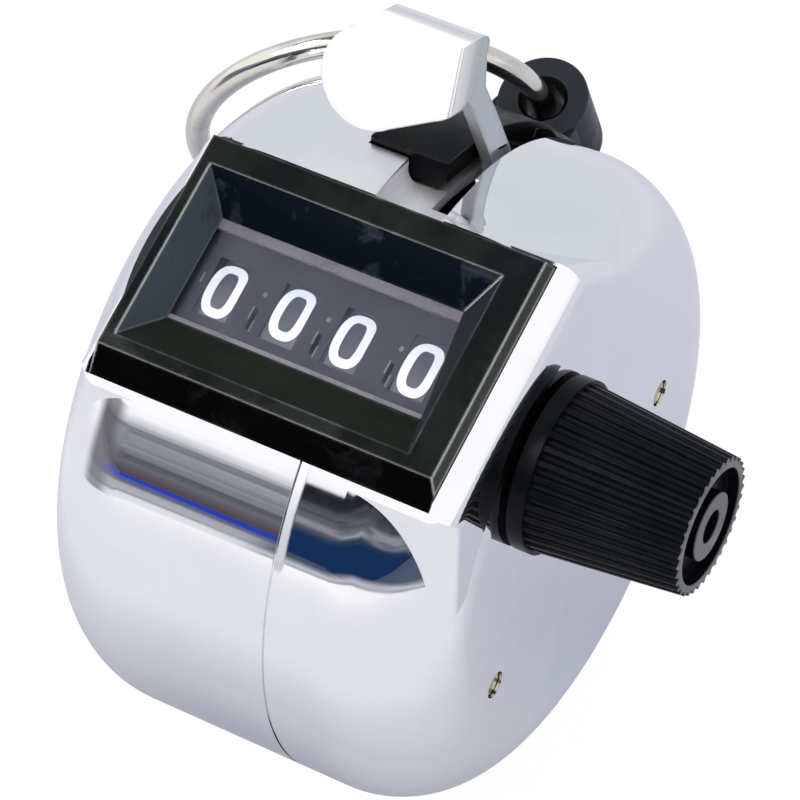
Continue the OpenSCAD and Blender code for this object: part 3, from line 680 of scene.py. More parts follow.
class Finishes:
    """Every finish of the counter, each built once."""

    CHROME = MetalFinish(
        "chrome_right", (0.85, 0.85, 0.87), (0.82, 0.82, 0.85), (0.02, 0.05), scratch=0.02, wave=0.015,
        lip=(18.95 * MM, 19.4 * MM), scoop=(14.7 * MM, 20.2 * MM),
    )
    CHROME_LEFT = replace(
        CHROME, name="chrome_left", lean=(0.07, 0.0, 0.0), lip=None,
        rub_and_sheen=((13.0 * MM, -0.8 * MM, 22.6 * MM), 6.0 * MM),
    )
    LEVER = MetalFinish(
        "chrome_lever", (0.90, 0.90, 0.91), (0.87, 0.87, 0.89), (0.03, 0.06), 140.0, 0.02, edge=0.12 * MM,
        lean=(0.0, 0.0, -0.27), side=(0.50, 0.52, 0.55), rim_shade=(0.70, 0.71, 0.735),
    )
    NICKEL = MetalFinish("nickel_wire", (0.74, 0.71, 0.65), (0.62, 0.59, 0.53), (0.10, 0.20), 260.0, 0.08, 0.03)
    STEEL = MetalFinish("turned_steel", (0.56, 0.56, 0.58), (0.40, 0.39, 0.39), (0.22, 0.38), lines=0.35)
    RIVET = MetalFinish("rivet_brass", (0.62, 0.55, 0.40), (0.36, 0.30, 0.20), (0.22, 0.40), 500.0, lines=0.2)
    BRASS = MetalFinish("spring_brass", (0.72, 0.58, 0.30), (0.52, 0.40, 0.19), (0.20, 0.34), lines=0.25)
    # Painted light and shade on the frame's recess walls and chin, and painted highlights on its edges.
    GLOSS = BezelFinish(
        "black_gloss", (0.008, 0.010, 0.010), (0.014, 0.018, 0.017), (0.08, 0.20), 0.02, 1400.0, 0.4,
        edge=0.26 * MM, pale_end_and_highlight=(0.62, 0.65, 0.66), edge_highlight=0.3,
        glints=((0.538, -0.356, 0.764), (0.383, -0.390, 0.838), (0.924, -0.160, 0.350), (-0.506, -0.738, 0.445)),
    )
    SATIN = PlasticFinish(
        "black_satin", (0.0015, 0.002, 0.0025), (0.004, 0.0045, 0.005), (0.30, 0.45), 0.16, shine=0.07,
        edge=0.14 * MM, pale_end_and_highlight=(0.20, 0.21, 0.22), edge_highlight=0.5, far=(18.0 * MM, (0.030, 0.034, 0.042)),
        bore=((13.6 * MM, 23.9 * MM, 10.74 * MM), (0.0, 0.4099, -0.9121), 1.7 * MM),
    )
    KNOB = PlasticFinish(
        "black_knob", (0.0035, 0.0045, 0.0065), (0.007, 0.008, 0.011), (0.28, 0.42), 0.14, shine=0.07,
        edge=0.10 * MM, pale_from=41.1 * MM, pale_end_and_highlight=(0.19, 0.195, 0.20), edge_highlight=0.16,
    )
    # Painted light: the wheels' grey is lighter than the mask's, to make up for the shade that they lie in under the
    # mask.
    WHEEL = PlasticFinish("wheel_grey", (0.090, 0.094, 0.116), (0.105, 0.110, 0.134), (0.42, 0.6), 0.2, shine=0.4)
    MASK = MaskFinish("mask_grey", (0.041, 0.045, 0.059), (0.049, 0.054, 0.070), (0.42, 0.6), 0.2, shine=0.4)
    PAINT = PlasticFinish("numeral_white", (0.95, 0.95, 0.97), (0.91, 0.91, 0.94), (0.40, 0.55), 0.05)
    # Painted highlights: pale bars by the slits and the first figure.
    HIGHLIGHT = PlasticFinish("painted_highlight", (0.17, 0.17, 0.20), (0.22, 0.22, 0.25), (0.40, 0.55), 0.1)
    # Painted shade: dark bars where slits show.
    SLIT_SHADE = PlasticFinish("painted_slit_shade", (0.014, 0.014, 0.019), (0.022, 0.022, 0.028), (0.42, 0.6), 0.1, shine=0.2)
    LENS = LensFinish("clear_lens")

    def __init__(self) -> None:
        """Builds the shared effects and an empty shelf of materials."""
        self.effects = SurfaceEffects()
        self.shelf: dict[str, Material] = {}

    def get(self, finish: Finish) -> Material:
        """Finds the material of a finish, which is drawn at its first use.

        Args:
            finish: The finish.

        Returns:
            Its material.
        """
        if finish.name not in self.shelf:
            sketch = MaterialSketch(finish.name, self.effects)
            finish.draw(sketch)
            self.shelf[finish.name] = sketch.material
        return self.shelf[finish.name]

    def dress(self, finish: Finish, *nodes: str) -> None:
        """Gives CAD nodes a finish on all their material slots.

        Args:
            finish: The finish.
            nodes: Names of the nodes.
        """
        for node in nodes:
            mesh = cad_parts[node].data
            mesh.materials.clear()
            mesh.materials.append(self.get(finish))
            LOG.info("dressed %s in %s", node, finish.name)


class Patchwork:
    """Collects grids of points into one mesh."""

    WELD = 1e-7  # distance at which points count as one

    def __init__(self) -> None:
        """Starts with no points and no faces."""
        self.points: list[Array] = []
        self.quads: list[Array] = []
        self.count = 0

    def tube(self, rings: Array, closed: bool) -> None:
        """Adds rings of points joined into a tube; an open tube of four-cornered rings gets its ends filled.

        Args:
            rings: Points, along x around x 3.
            closed: True where the last ring joins the first.
        """
        along, around = rings.shape[:2]
        index = np.arange(along * around).reshape(along, around) + self.count
        ahead = np.roll(index, -1, axis=0)
        if not closed:
            index, ahead = index[:-1], ahead[:-1]
        quads = np.stack([index, ahead, np.roll(ahead, -1, axis=1), np.roll(index, -1, axis=1)], axis=-1)
        self.points.append(rings.reshape(-1, 3))
        self.quads.append(quads.reshape(-1, 4))
        if not closed and around == 4:
            first = np.arange(around) + self.count
            last = first + (along - 1) * around
            self.quads.append(np.stack([first, last[::-1]]))
        self.count += along * around

    def plate(self, layers: Array, full: Array) -> None:
        """Adds a plate of cells with square holes.

        A full cell gets a face above and below; a side is closed with a wall where its neighbour is empty.

        Args:
            layers: Points, lower and upper x across x along x 3.
            full: Whether each cell is full, one less than the points each way.
        """
        across, along = layers.shape[1:3]
        low = np.arange(across * along).reshape(across, along) + self.count
        high = low + across * along
        corners = [(0, 0), (1, 0), (1, 1), (0, 1)]
        cells = np.argwhere(full)
        faces = [np.stack([high[cells[:, 0] + i, cells[:, 1] + j] for i, j in corners], axis=-1)]
        faces.append(np.stack([low[cells[:, 0] + i, cells[:, 1] + j] for i, j in corners[::-1]], axis=-1))
        padded = np.pad(full, 1)
        for start, end in zip(corners, corners[1:] + corners[:1]):
            outward = (start[0] + end[0] - 1, start[1] + end[1] - 1)
            bare = cells[~padded[cells[:, 0] + 1 + outward[0], cells[:, 1] + 1 + outward[1]]]
            first = (bare[:, 0] + start[0], bare[:, 1] + start[1])
            last = (bare[:, 0] + end[0], bare[:, 1] + end[1])
            faces.append(np.stack([low[first], low[last], high[last], high[first]], axis=-1))
        self.points.append(layers.reshape(-1, 3))
        self.quads.append(np.concatenate(faces))
        self.count += 2 * across * along

    def object(self, name: str, body: Body, material: Material, slot: Slot, weld: bool = False) -> bpy.types.Object:
        """Makes the mesh object and sets it riding on its body.

        Args:
            name: Name of the piece.
            body: The CAD body it rides on.
            material: Its material.
            slot: The record's material slot; not used.
            weld: Whether points that meet are merged and the faces turned outwards.

        Returns:
            The new object.
        """
        mesh = bpy.data.meshes.new(name)
        mesh.from_pydata(np.concatenate(self.points), [], np.concatenate(self.quads).tolist())
        if weld:
            shell = bmesh.new()
            shell.from_mesh(mesh)
            bmesh.ops.remove_doubles(shell, verts=shell.verts, dist=self.WELD)
            bmesh.ops.recalc_face_normals(shell, faces=shell.faces)
            shell.to_mesh(mesh)
            shell.free()
        mesh.validate()
        mesh.materials.append(material)
        mesh.polygons.foreach_set("use_smooth", np.zeros(len(mesh.polygons), bool))
        piece = put_in_scene(name, mesh)
        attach(piece, body.value)
        LOG.info("made %s on %s with %d faces", name, body.value, len(mesh.polygons))
        return piece


@dataclass(frozen=True)
class Numerals:
    """Plain figures drawn as strokes in a box from -1 to 1 each way.

    Attributes:
        width: Width of a figure over its stroke.
        height: Height of a figure over its stroke.
        stroke: Width of the stroke.
        samples: Points along one stroke.
        power: Power of the superellipse that an oval is.
        cap: Points round the end of a stroke.
    """

    width: float = 2.36 * MM
    height: float = 3.86 * MM
    stroke: float = 0.60 * MM
    samples: int = 40
    power: float = 2.9
    cap: int = 6

    TIP = 0.01  # share of the half width that is left at a tip
    INSIDE = 1e-9  # keeps the last point of a curve in its last part
    SIX = (
        (0.72, 0.86), (0.05, 1.0), (-0.72, 0.55), (-1.0, -0.3), (-0.72, -0.86), (0.0, -1.0),
        (0.75, -0.83), (1.0, -0.38), (0.7, 0.08), (0.0, 0.2), (-0.7, 0.0), (-0.98, -0.4),
    )
    # Strokes by digit: the knots of a line, or the centre and the half sizes of an oval.
    OVALS = {0: (((0.0, 0.0), (1.0, 1.0)),), 8: (((0.0, 0.5), (0.82, 0.5)), ((0.0, -0.49), (1.0, 0.51)))}
    LINES = {
        1: (((-0.5, 0.55), (0.1, 1.0)), ((0.1, 1.0), (0.1, -1.0))),
        2: (
            ((-0.95, 0.45), (-0.6, 0.92), (0.05, 1.0), (0.75, 0.85), (0.95, 0.45), (0.6, -0.1), (-0.95, -1.0)),
            ((-0.95, -1.0), (1.0, -1.0)),
        ),
        3: (
            ((-0.9, 0.66), (-0.4, 0.97), (0.3, 0.97), (0.88, 0.58), (0.6, 0.13), (-0.1, 0.04)),
            ((-0.1, 0.04), (0.7, -0.08), (1.0, -0.5), (0.6, -0.94), (-0.2, -1.0), (-0.95, -0.62)),
        ),
        4: (((0.4, 1.0), (-1.0, -0.38)), ((-1.0, -0.38), (1.0, -0.38)), ((0.4, 1.0), (0.4, -1.0))),
        5: (
            ((0.85, 1.0), (-0.75, 1.0)), ((-0.75, 1.0), (-0.86, 0.08)),
            ((-0.86, 0.08), (-0.2, 0.34), (0.55, 0.22), (0.98, -0.32), (0.6, -0.9), (-0.2, -1.0), (-0.95, -0.68)),
        ),
        6: (SIX,),
        7: (((-1.0, 1.0), (1.0, 1.0)), ((1.0, 1.0), (-0.3, -1.0))),
        9: (tuple((-x, -y) for x, y in SIX),),
    }

    def oval(self, centre: Pair, half: Pair) -> tuple[Array, bool]:
        """Draws a closed superellipse: cosine and sine, each raised to a power below 1 with its sign kept.

        Args:
            centre: Its middle.
            half: Half its width and half its height.

        Returns:
            Its points, and that it is closed.
        """
        turn = np.linspace(0.0, 2.0 * np.pi, 2 * self.samples, endpoint=False)
        wave = np.stack([np.cos(turn), np.sin(turn)], axis=1)
        bulge = np.sign(wave) * np.abs(wave) ** (2.0 / self.power)
        return np.array(centre) + bulge * np.array(half), True

    def line(self, *knots: Pair) -> tuple[Array, bool]:
        """Draws an open stroke: a Catmull-Rom curve through the knots, straight where there are only two.

        Args:
            knots: Points that it goes through.

        Returns:
            Its points, and that it is open.
        """
        points = np.array(knots, float)
        padded = np.concatenate([2 * points[:1] - points[1:2], points, 2 * points[-1:] - points[-2:-1]])
        place = np.linspace(0.0, len(points) - 1.0 - self.INSIDE, self.samples)
        part = place.astype(int)
        step = (place - part)[:, None]
        before, here, there, after = (padded[part + shift] for shift in range(4))
        curve = 0.5 * (
            2 * here
            + (there - before) * step
            + (2 * before - 5 * here + 4 * there - after) * step**2
            + (3 * here - before - 3 * there + after) * step**3
        )
        return curve, False

    def figure(self, digit: int) -> list[tuple[Array, bool]]:
        """Returns the strokes of one digit, each as its points and whether it is closed."""
        lines = [self.line(*knots) for knots in self.LINES.get(digit, ())]
        return lines + [self.oval(*oval) for oval in self.OVALS.get(digit, ())]

    def outline(self, points: Array, closed: bool) -> tuple[Array, Array, Array]:
        """Lays a stroke out in metres, with round ends.

        The points are scaled to the figure's size. An open stroke is carried on by half its width at both
        ends, where its half width follows a circle: the root of one minus the square of the way to the tip.

        Args:
            points: Points in the unit box.
            closed: Whether the stroke is a loop.

        Returns:
            The centre line, the unit vector across it and its half width.
        """
        half = self.stroke / 2.0
        path = points * np.array([self.width - self.stroke, self.height - self.stroke]) / 2.0
        if closed:
            along = np.roll(path, -1, axis=0) - np.roll(path, 1, axis=0)
            breadth = np.full(len(path), half)
        else:
            reach = np.sin(np.linspace(0.0, np.pi / 2.0, self.cap + 1)[1:])[::-1]
            lead = (path[0] - path[1]) / np.linalg.norm(path[0] - path[1])
            tail = (path[-1] - path[-2]) / np.linalg.norm(path[-1] - path[-2])
            round_off = half * np.sqrt(np.maximum(1.0 - reach**2, 0.0)) + self.TIP * half
            breadth = np.concatenate([round_off, np.full(len(path), half), round_off[::-1]])
            path = np.concatenate(
                [path[0] + lead * half * reach[:, None], path, path[-1] + tail * half * reach[::-1, None]]
            )
            along = np.gradient(path, axis=0)
        along = along / np.linalg.norm(along, axis=1, keepdims=True)
        return path, np.stack([-along[:, 1], along[:, 0]], axis=1), breadth


@dataclass(frozen=True)
class NumberRow:
    """Four number wheels behind the window, with their figures.

    Attributes:
        axis_y: The wheels' axis along Y.
        axis_z: The wheels' axis along Z.
        radius: Radius of a wheel.
        proud: How far a figure stands off its wheel.
        sunk: How far its edge goes into the wheel.
    """

    axis_y: float = -5.292377 * MM
    axis_z: float = 9.338268 * MM
    radius: float = 6.8 * MM
    proud: float = 0.03 * MM
    sunk: float = 0.05 * MM

    # Body, middle of the figures along X and angle of the nought, in radians.
    WHEELS = (
        (Body.THOUSANDS, 7.45 * MM, math.radians(2.8)),
        (Body.HUNDREDS, 12.37 * MM, math.radians(4.9)),
        (Body.TENS, 16.89 * MM, math.radians(3.4)),
        (Body.UNITS, 21.87 * MM, math.radians(2.5)),
    )
    MIDDLES = (7.625 * MM, 12.275 * MM, 16.925 * MM, 21.575 * MM)  # of the wheels, along X

    def wrap(self, across: Array, around: Array, lift: Array) -> Array:
        """Rolls flat points onto the wheel.

        The distance around, over the radius, is the angle from the window's normal; the point is the axis plus
        the lifted radius times the cosine along that normal and the sine up the window's slope.

        Args:
            across: Places along X.
            around: Distances around the wheel.
            lift: Heights over the wheel.

        Returns:
            Points with a last axis of 3.
        """
        turn = around / self.radius - TILT
        reach = self.radius + lift
        y = self.axis_y + reach * np.sin(turn)
        z = self.axis_z + reach * np.cos(turn)
        return np.stack([across + 0 * y, y, z], axis=-1)

    def stroke(self, patch: Patchwork, path: Array, across: Array, breadth: Array, closed: bool) -> None:
        """Adds one flat stroke: a four-cornered profile, two corners sunk and two proud, carried along the path.

        Args:
            patch: The mesh that it goes into.
            path: The centre line.
            across: The unit vector across it.
            breadth: Its half width.
            closed: Whether it is a loop.
        """
        side = np.array([1.0, 1.0, -1.0, -1.0])
        lift = np.array([-self.sunk, self.proud, self.proud, -self.sunk])
        flat = path[:, None, :] + across[:, None, :] * (breadth[:, None] * side)[..., None]
        patch.tube(self.wrap(flat[..., 0], flat[..., 1], np.broadcast_to(lift, flat.shape[:2])), closed)

    def figures(self, body: Body, centre: float, start: float, paint: Material) -> None:
        """Prints the ten figures of one wheel; each next one is a tenth of a turn up the wheel.

        Args:
            body: The wheel's body.
            centre: Middle of the figures along X.
            start: Angle of the nought, in radians.
            paint: Their material.
        """
        patch = Patchwork()
        numerals = Numerals()
        for digit in range(10):
            shift = np.array([centre, (start + digit * math.tau / 10.0) * self.radius])
            for points, closed in numerals.figure(digit):
                path, across, breadth = numerals.outline(points, closed)
                self.stroke(patch, path + shift, across, breadth, closed)
        patch.object(f"{body.value}_figures", body, paint, Slot.FIGURE)

    def build(self, finishes: Finishes) -> None:
        """Dresses the wheels and adds their figures.

        Args:
            finishes: The shelf of materials.
        """
        for body, centre, start in self.WHEELS:
            finishes.dress(finishes.WHEEL, f"{body.value}_wheel")
            self.figures(body, centre, start, finishes.get(finishes.PAINT))


def raise_up(across: Array, along: Array, height: Array) -> Array:
    """Stands flat points up: the slope's direction times the place along it, plus the normal times the height.

    Args:
        across: Places along X.
        along: Places up the window's slope.
        height: Heights over the drum's axis.

    Returns:
        Points with a last axis of 3.
    """
    y = along * math.cos(TILT) - height * math.sin(TILT)
    z = along * math.sin(TILT) + height * math.cos(TILT)
    return np.stack(np.broadcast_arrays(across, y, z), axis=-1)


@dataclass(frozen=True)
class WindowFrame:
    """The black frame round the window: a bevelled chin and right side, and walls that slope down to the lens.

    The right wall is steeper towards the front, so that the last figure shows whole.

    Attributes:
        sides: Left and right side along X.
        right_bevel: Width of the bevel along the right side.
        ends: Front and back end along the slope.
        chin: Length and drop of the bevel at the front.
        levels: Heights of foot, lens and face over the drum's axis.
        rim: Left, right, front and back edge of the recess in the face.
        view: Left, right at the back, right at the front, front and back edge of the opening at the lens.
        pocket: Left, right, front and back side of the pocket that holds the lens.
    """

    sides: Pair = (3.1 * MM, 27.8 * MM)
    right_bevel: float = 0.5 * MM
    ends: Pair = (-9.6 * MM, 7.85 * MM)
    chin: Pair = (1.75 * MM, 1.1 * MM)
    levels: tuple[float, ...] = (17.0 * MM, 18.4 * MM, 21.2 * MM)
    rim: tuple[float, ...] = (3.9 * MM, 25.2 * MM, -6.9 * MM, 5.95 * MM)
    view: tuple[float, ...] = (5.2 * MM, 22.9 * MM, 23.75 * MM, -3.75 * MM, 3.75 * MM)
    pocket: tuple[float, ...] = (4.3 * MM, 23.8 * MM, -4.65 * MM, 4.65 * MM)

    def rings(self) -> Array:
        """Lays out the section as five-cornered rings, from the outer foot over the face into the pocket.

        The corners run front left, front right, start of the right bevel, back right and back left. Where the
        chin's slope meets the right bevel, the drop of the bevel over the chin's slope gives the third corner.

        Returns:
            Points, rings x corners x 3.
        """
        left, right = self.sides
        front, back = self.ends
        foot, lens, face = self.levels
        bevel, (length, drop) = self.right_bevel, self.chin
        meet = front + length - bevel * length / drop
        brow = front + length
        x0, x1, u0, u1 = self.rim
        v0, v1, v2, w0, w1 = self.view
        p0, p1, q0, q1 = self.pocket
        flat = np.array([
            [(left, front, foot), (right, front, foot), (right, meet, foot), (right, back, foot), (left, back, foot)],
            [(left, front, face - drop), (right, front, face - drop), (right, meet, face - bevel),
             (right, back, face - bevel), (left, back, face)],
            [(left, brow, face), *[(right - bevel, brow, face)] * 2, (right - bevel, back, face), (left, back, face)],
            [(x0, u0, face), *[(x1, u0, face)] * 2, (x1, u1, face), (x0, u1, face)],
            [(v0, w0, lens), *[(v2, w0, lens)] * 2, (v1, w1, lens), (v0, w1, lens)],
            *([(p0, q0, level), *[(p1, q0, level)] * 2, (p1, q1, level), (p0, q1, level)] for level in (lens, foot)),
        ])
        return raise_up(flat[..., 0], flat[..., 1], flat[..., 2])

    def build(self, finishes: Finishes) -> None:
        """Adds the frame in place of the plain CAD one.

        Args:
            finishes: The shelf of materials.
        """
        patch = Patchwork()
        patch.tube(self.rings(), True)
        frame_piece = patch.object("window_frame", Body.CASE, finishes.get(finishes.GLOSS), Slot.FRAME, weld=True)
        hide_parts("window_bezel")


@dataclass(frozen=True)
class Bar:
    """A low rounded bar up the window's slope.

    Attributes:
        centre: Its middle along X.
        start: Its lower end along the slope.
        end: Its upper end.
        half: Half its width.
        high: Its height.
    """

    centre: float
    start: float
    end: float
    half: float
    high: float

    def moved(self, across: float) -> "Bar":
        """Returns the same bar further along X."""
        return replace(self, centre=self.centre + across)


@dataclass(frozen=True)
class DialMask:
    """The grey mask between the lens and the wheels, with an opening for each figure and, beside it, a dark bar painted
    as the shade in a slit.

    Attributes:
        low: Height of the mask's back over the drum's axis.
        high: Height of its front.
        ends: Its left and right ends along X.
        sides: Its lower and upper sides along the slope.
        opening: Lower and upper side of the figures' openings.
        half: Half the width of an opening.
        slit: The dark bar painted as the shade in a slit, from its own middle along X.
        slits: Middles of the painted slit shades along X.
        slit_highlights: The pale bars beside and above a slit, painted highlights on its edges and on a small bump,
            from the slit's middle along X.
        first_highlight: The lone pale bar by the first figure, a painted highlight.
        rib: Left and right side of a rib, from the middle of its wheel.
        rib_lift: Foot and top of a rib against the wheel's surface.
        rib_turn: Angles round the wheel that a rib runs between, in radians.
    """

    low: float = 17.60 * MM
    high: float = 17.70 * MM
    ends: Pair = (4.6 * MM, 23.6 * MM)
    sides: Pair = (-4.1 * MM, 4.1 * MM)
    opening: Pair = (-2.62 * MM, 1.46 * MM)
    half: float = 1.22 * MM
    slit: Bar = Bar(0.0, -2.45 * MM, -0.85 * MM, 0.15 * MM, 0.03 * MM)
    slits: tuple[float, ...] = (10.17 * MM, 14.86 * MM, 20.16 * MM)
    slit_highlights: tuple[Bar, ...] = (
        Bar(-0.23 * MM, -1.75 * MM, -0.75 * MM, 0.07 * MM, 0.05 * MM),
        Bar(0.23 * MM, -2.55 * MM, -1.65 * MM, 0.07 * MM, 0.05 * MM),
        Bar(0.05 * MM, 0.0, 0.35 * MM, 0.15 * MM, 0.06 * MM),
    )
    first_highlight: Bar = Bar(5.75 * MM, -0.65 * MM, 0.15 * MM, 0.07 * MM, 0.05 * MM)
    rib: Pair = (-2.25 * MM, -1.13 * MM)
    rib_lift: Pair = (-0.5 * MM, -0.06 * MM)
    rib_turn: Pair = (math.radians(-24.0), math.radians(30.0))

    BAR_STEPS = (13, 7)  # points along and across a bar
    BAR_SUNK = 0.01 * MM
    RIB_STEPS = 19

    def sheet(self) -> Patchwork:
        """Cuts the sheet: a grid at every edge of an opening, with those cells left out.

        Returns:
            The mesh.
        """
        openings = [(centre - self.half, centre + self.half) for _, centre, _ in NumberRow.WHEELS]
        across = np.array(sorted({*self.ends, *(edge for pair in openings for edge in pair)}))
        along = np.array(sorted({*self.sides, *self.opening}))
        middle = (across[:-1] + across[1:])[:, None] / 2.0
        height = (along[:-1] + along[1:])[None, :] / 2.0
        full = np.ones((len(across) - 1, len(along) - 1), bool)
        for left, right in openings:
            full &= ~((middle > left) & (middle < right) & (height > self.opening[0]) & (height < self.opening[1]))
        patch = Patchwork()
        grid = [raise_up(across[:, None], along[None, :], np.array(level)) for level in (self.low, self.high)]
        patch.plate(np.stack(grid), full)
        return patch

    def bars(self, *bars: Bar) -> Patchwork:
        """Sets bars on the sheet, each a half circle across, its height following the root of 1 - way^4.

        Args:
            bars: The bars.

        Returns:
            The mesh.
        """
        patch = Patchwork()
        steps, corners = self.BAR_STEPS
        way = np.linspace(-1.0, 1.0, steps)[:, None]
        turn = np.linspace(0.0, np.pi, corners)[None, :]
        for bar in bars:
            lift = bar.high * np.sin(turn) * np.sqrt(1.0 - way**4) - self.BAR_SUNK
            along = (bar.start + bar.end) / 2.0 + (bar.end - bar.start) / 2.0 * way
            patch.tube(raise_up(bar.centre + bar.half * np.cos(turn), along, self.high + lift), False)
        return patch

    def ribs(self) -> Patchwork:
        """Sets a rib over the toothed side of each wheel: a four-cornered profile rolled along the wheel's curve.

        Returns:
            The mesh.
        """
        patch = Patchwork()
        row = NumberRow()
        left, right = self.rib
        foot, top = self.rib_lift
        around = np.linspace(*self.rib_turn, self.RIB_STEPS)[:, None] * row.radius
        for middle in row.MIDDLES:
            across = middle + np.array([[left, left, right, right]])
            patch.tube(row.wrap(across, around, np.array([[foot, top, top, foot]])), False)
        return patch

    def build(self, finishes: Finishes) -> None:
        """Adds the mask, its ribs, the painted shade of its slits and its painted highlights to the case.

        Args:
            finishes: The shelf of materials.
        """
        slits = [self.slit.moved(middle) for middle in self.slits]
        marks = [mark.moved(middle) for middle in self.slits for mark in self.slit_highlights]
        for name, patch, finish in (
            ("dial_ribs", self.ribs(), finishes.MASK),
            ("dial_mask", self.sheet(), finishes.MASK),
            # Dark bars of painted shade where the slits show.
            ("dial_slit_shades", self.bars(*slits), finishes.SLIT_SHADE),
            # Pale bars of painted highlight on the slits' edges.
            ("dial_highlights", self.bars(*marks, self.first_highlight), finishes.HIGHLIGHT),
        ):
            patch.object(name, Body.CASE, finishes.get(finish), Slot.WHEEL)


@dataclass(frozen=True)
class CounterParts:
    """The CAD pieces of the counter outside the number row.

    Attributes:
        groups: Finishes with the nodes that they are on.
    """

    groups: tuple[tuple[Finish, tuple[str, ...]], ...] = (
        (Finishes.CHROME_LEFT, ("left_case",)),
        (Finishes.CHROME, ("right_case",)),
        (Finishes.LEVER, ("thumb_lever",)),
        (Finishes.GLOSS, ("window_bezel",)),
        (Finishes.LENS, ("window_lens",)),
        (Finishes.SATIN, ("lever_guide",)),
        (Finishes.KNOB, ("reset_knob",)),
        (Finishes.STEEL, (
            "wheel_shaft", "shaft_clip", "knob_pin", "left_plate", "right_plate",
            "frame_posts", "lever_spring", "drive_pawl", "pawl_pin", "comb_rod",
        )),
        (Finishes.RIVET, ("case_rivet", "lever_pivot")),
        (Finishes.BRASS, ("detent_comb",)),
        (Finishes.NICKEL, ("finger_ring",)),
    )

    def build(self, finishes: Finishes) -> None:
        """Dresses every node from the shelf of materials."""
        for finish, nodes in self.groups:
            finishes.dress(finish, *nodes)


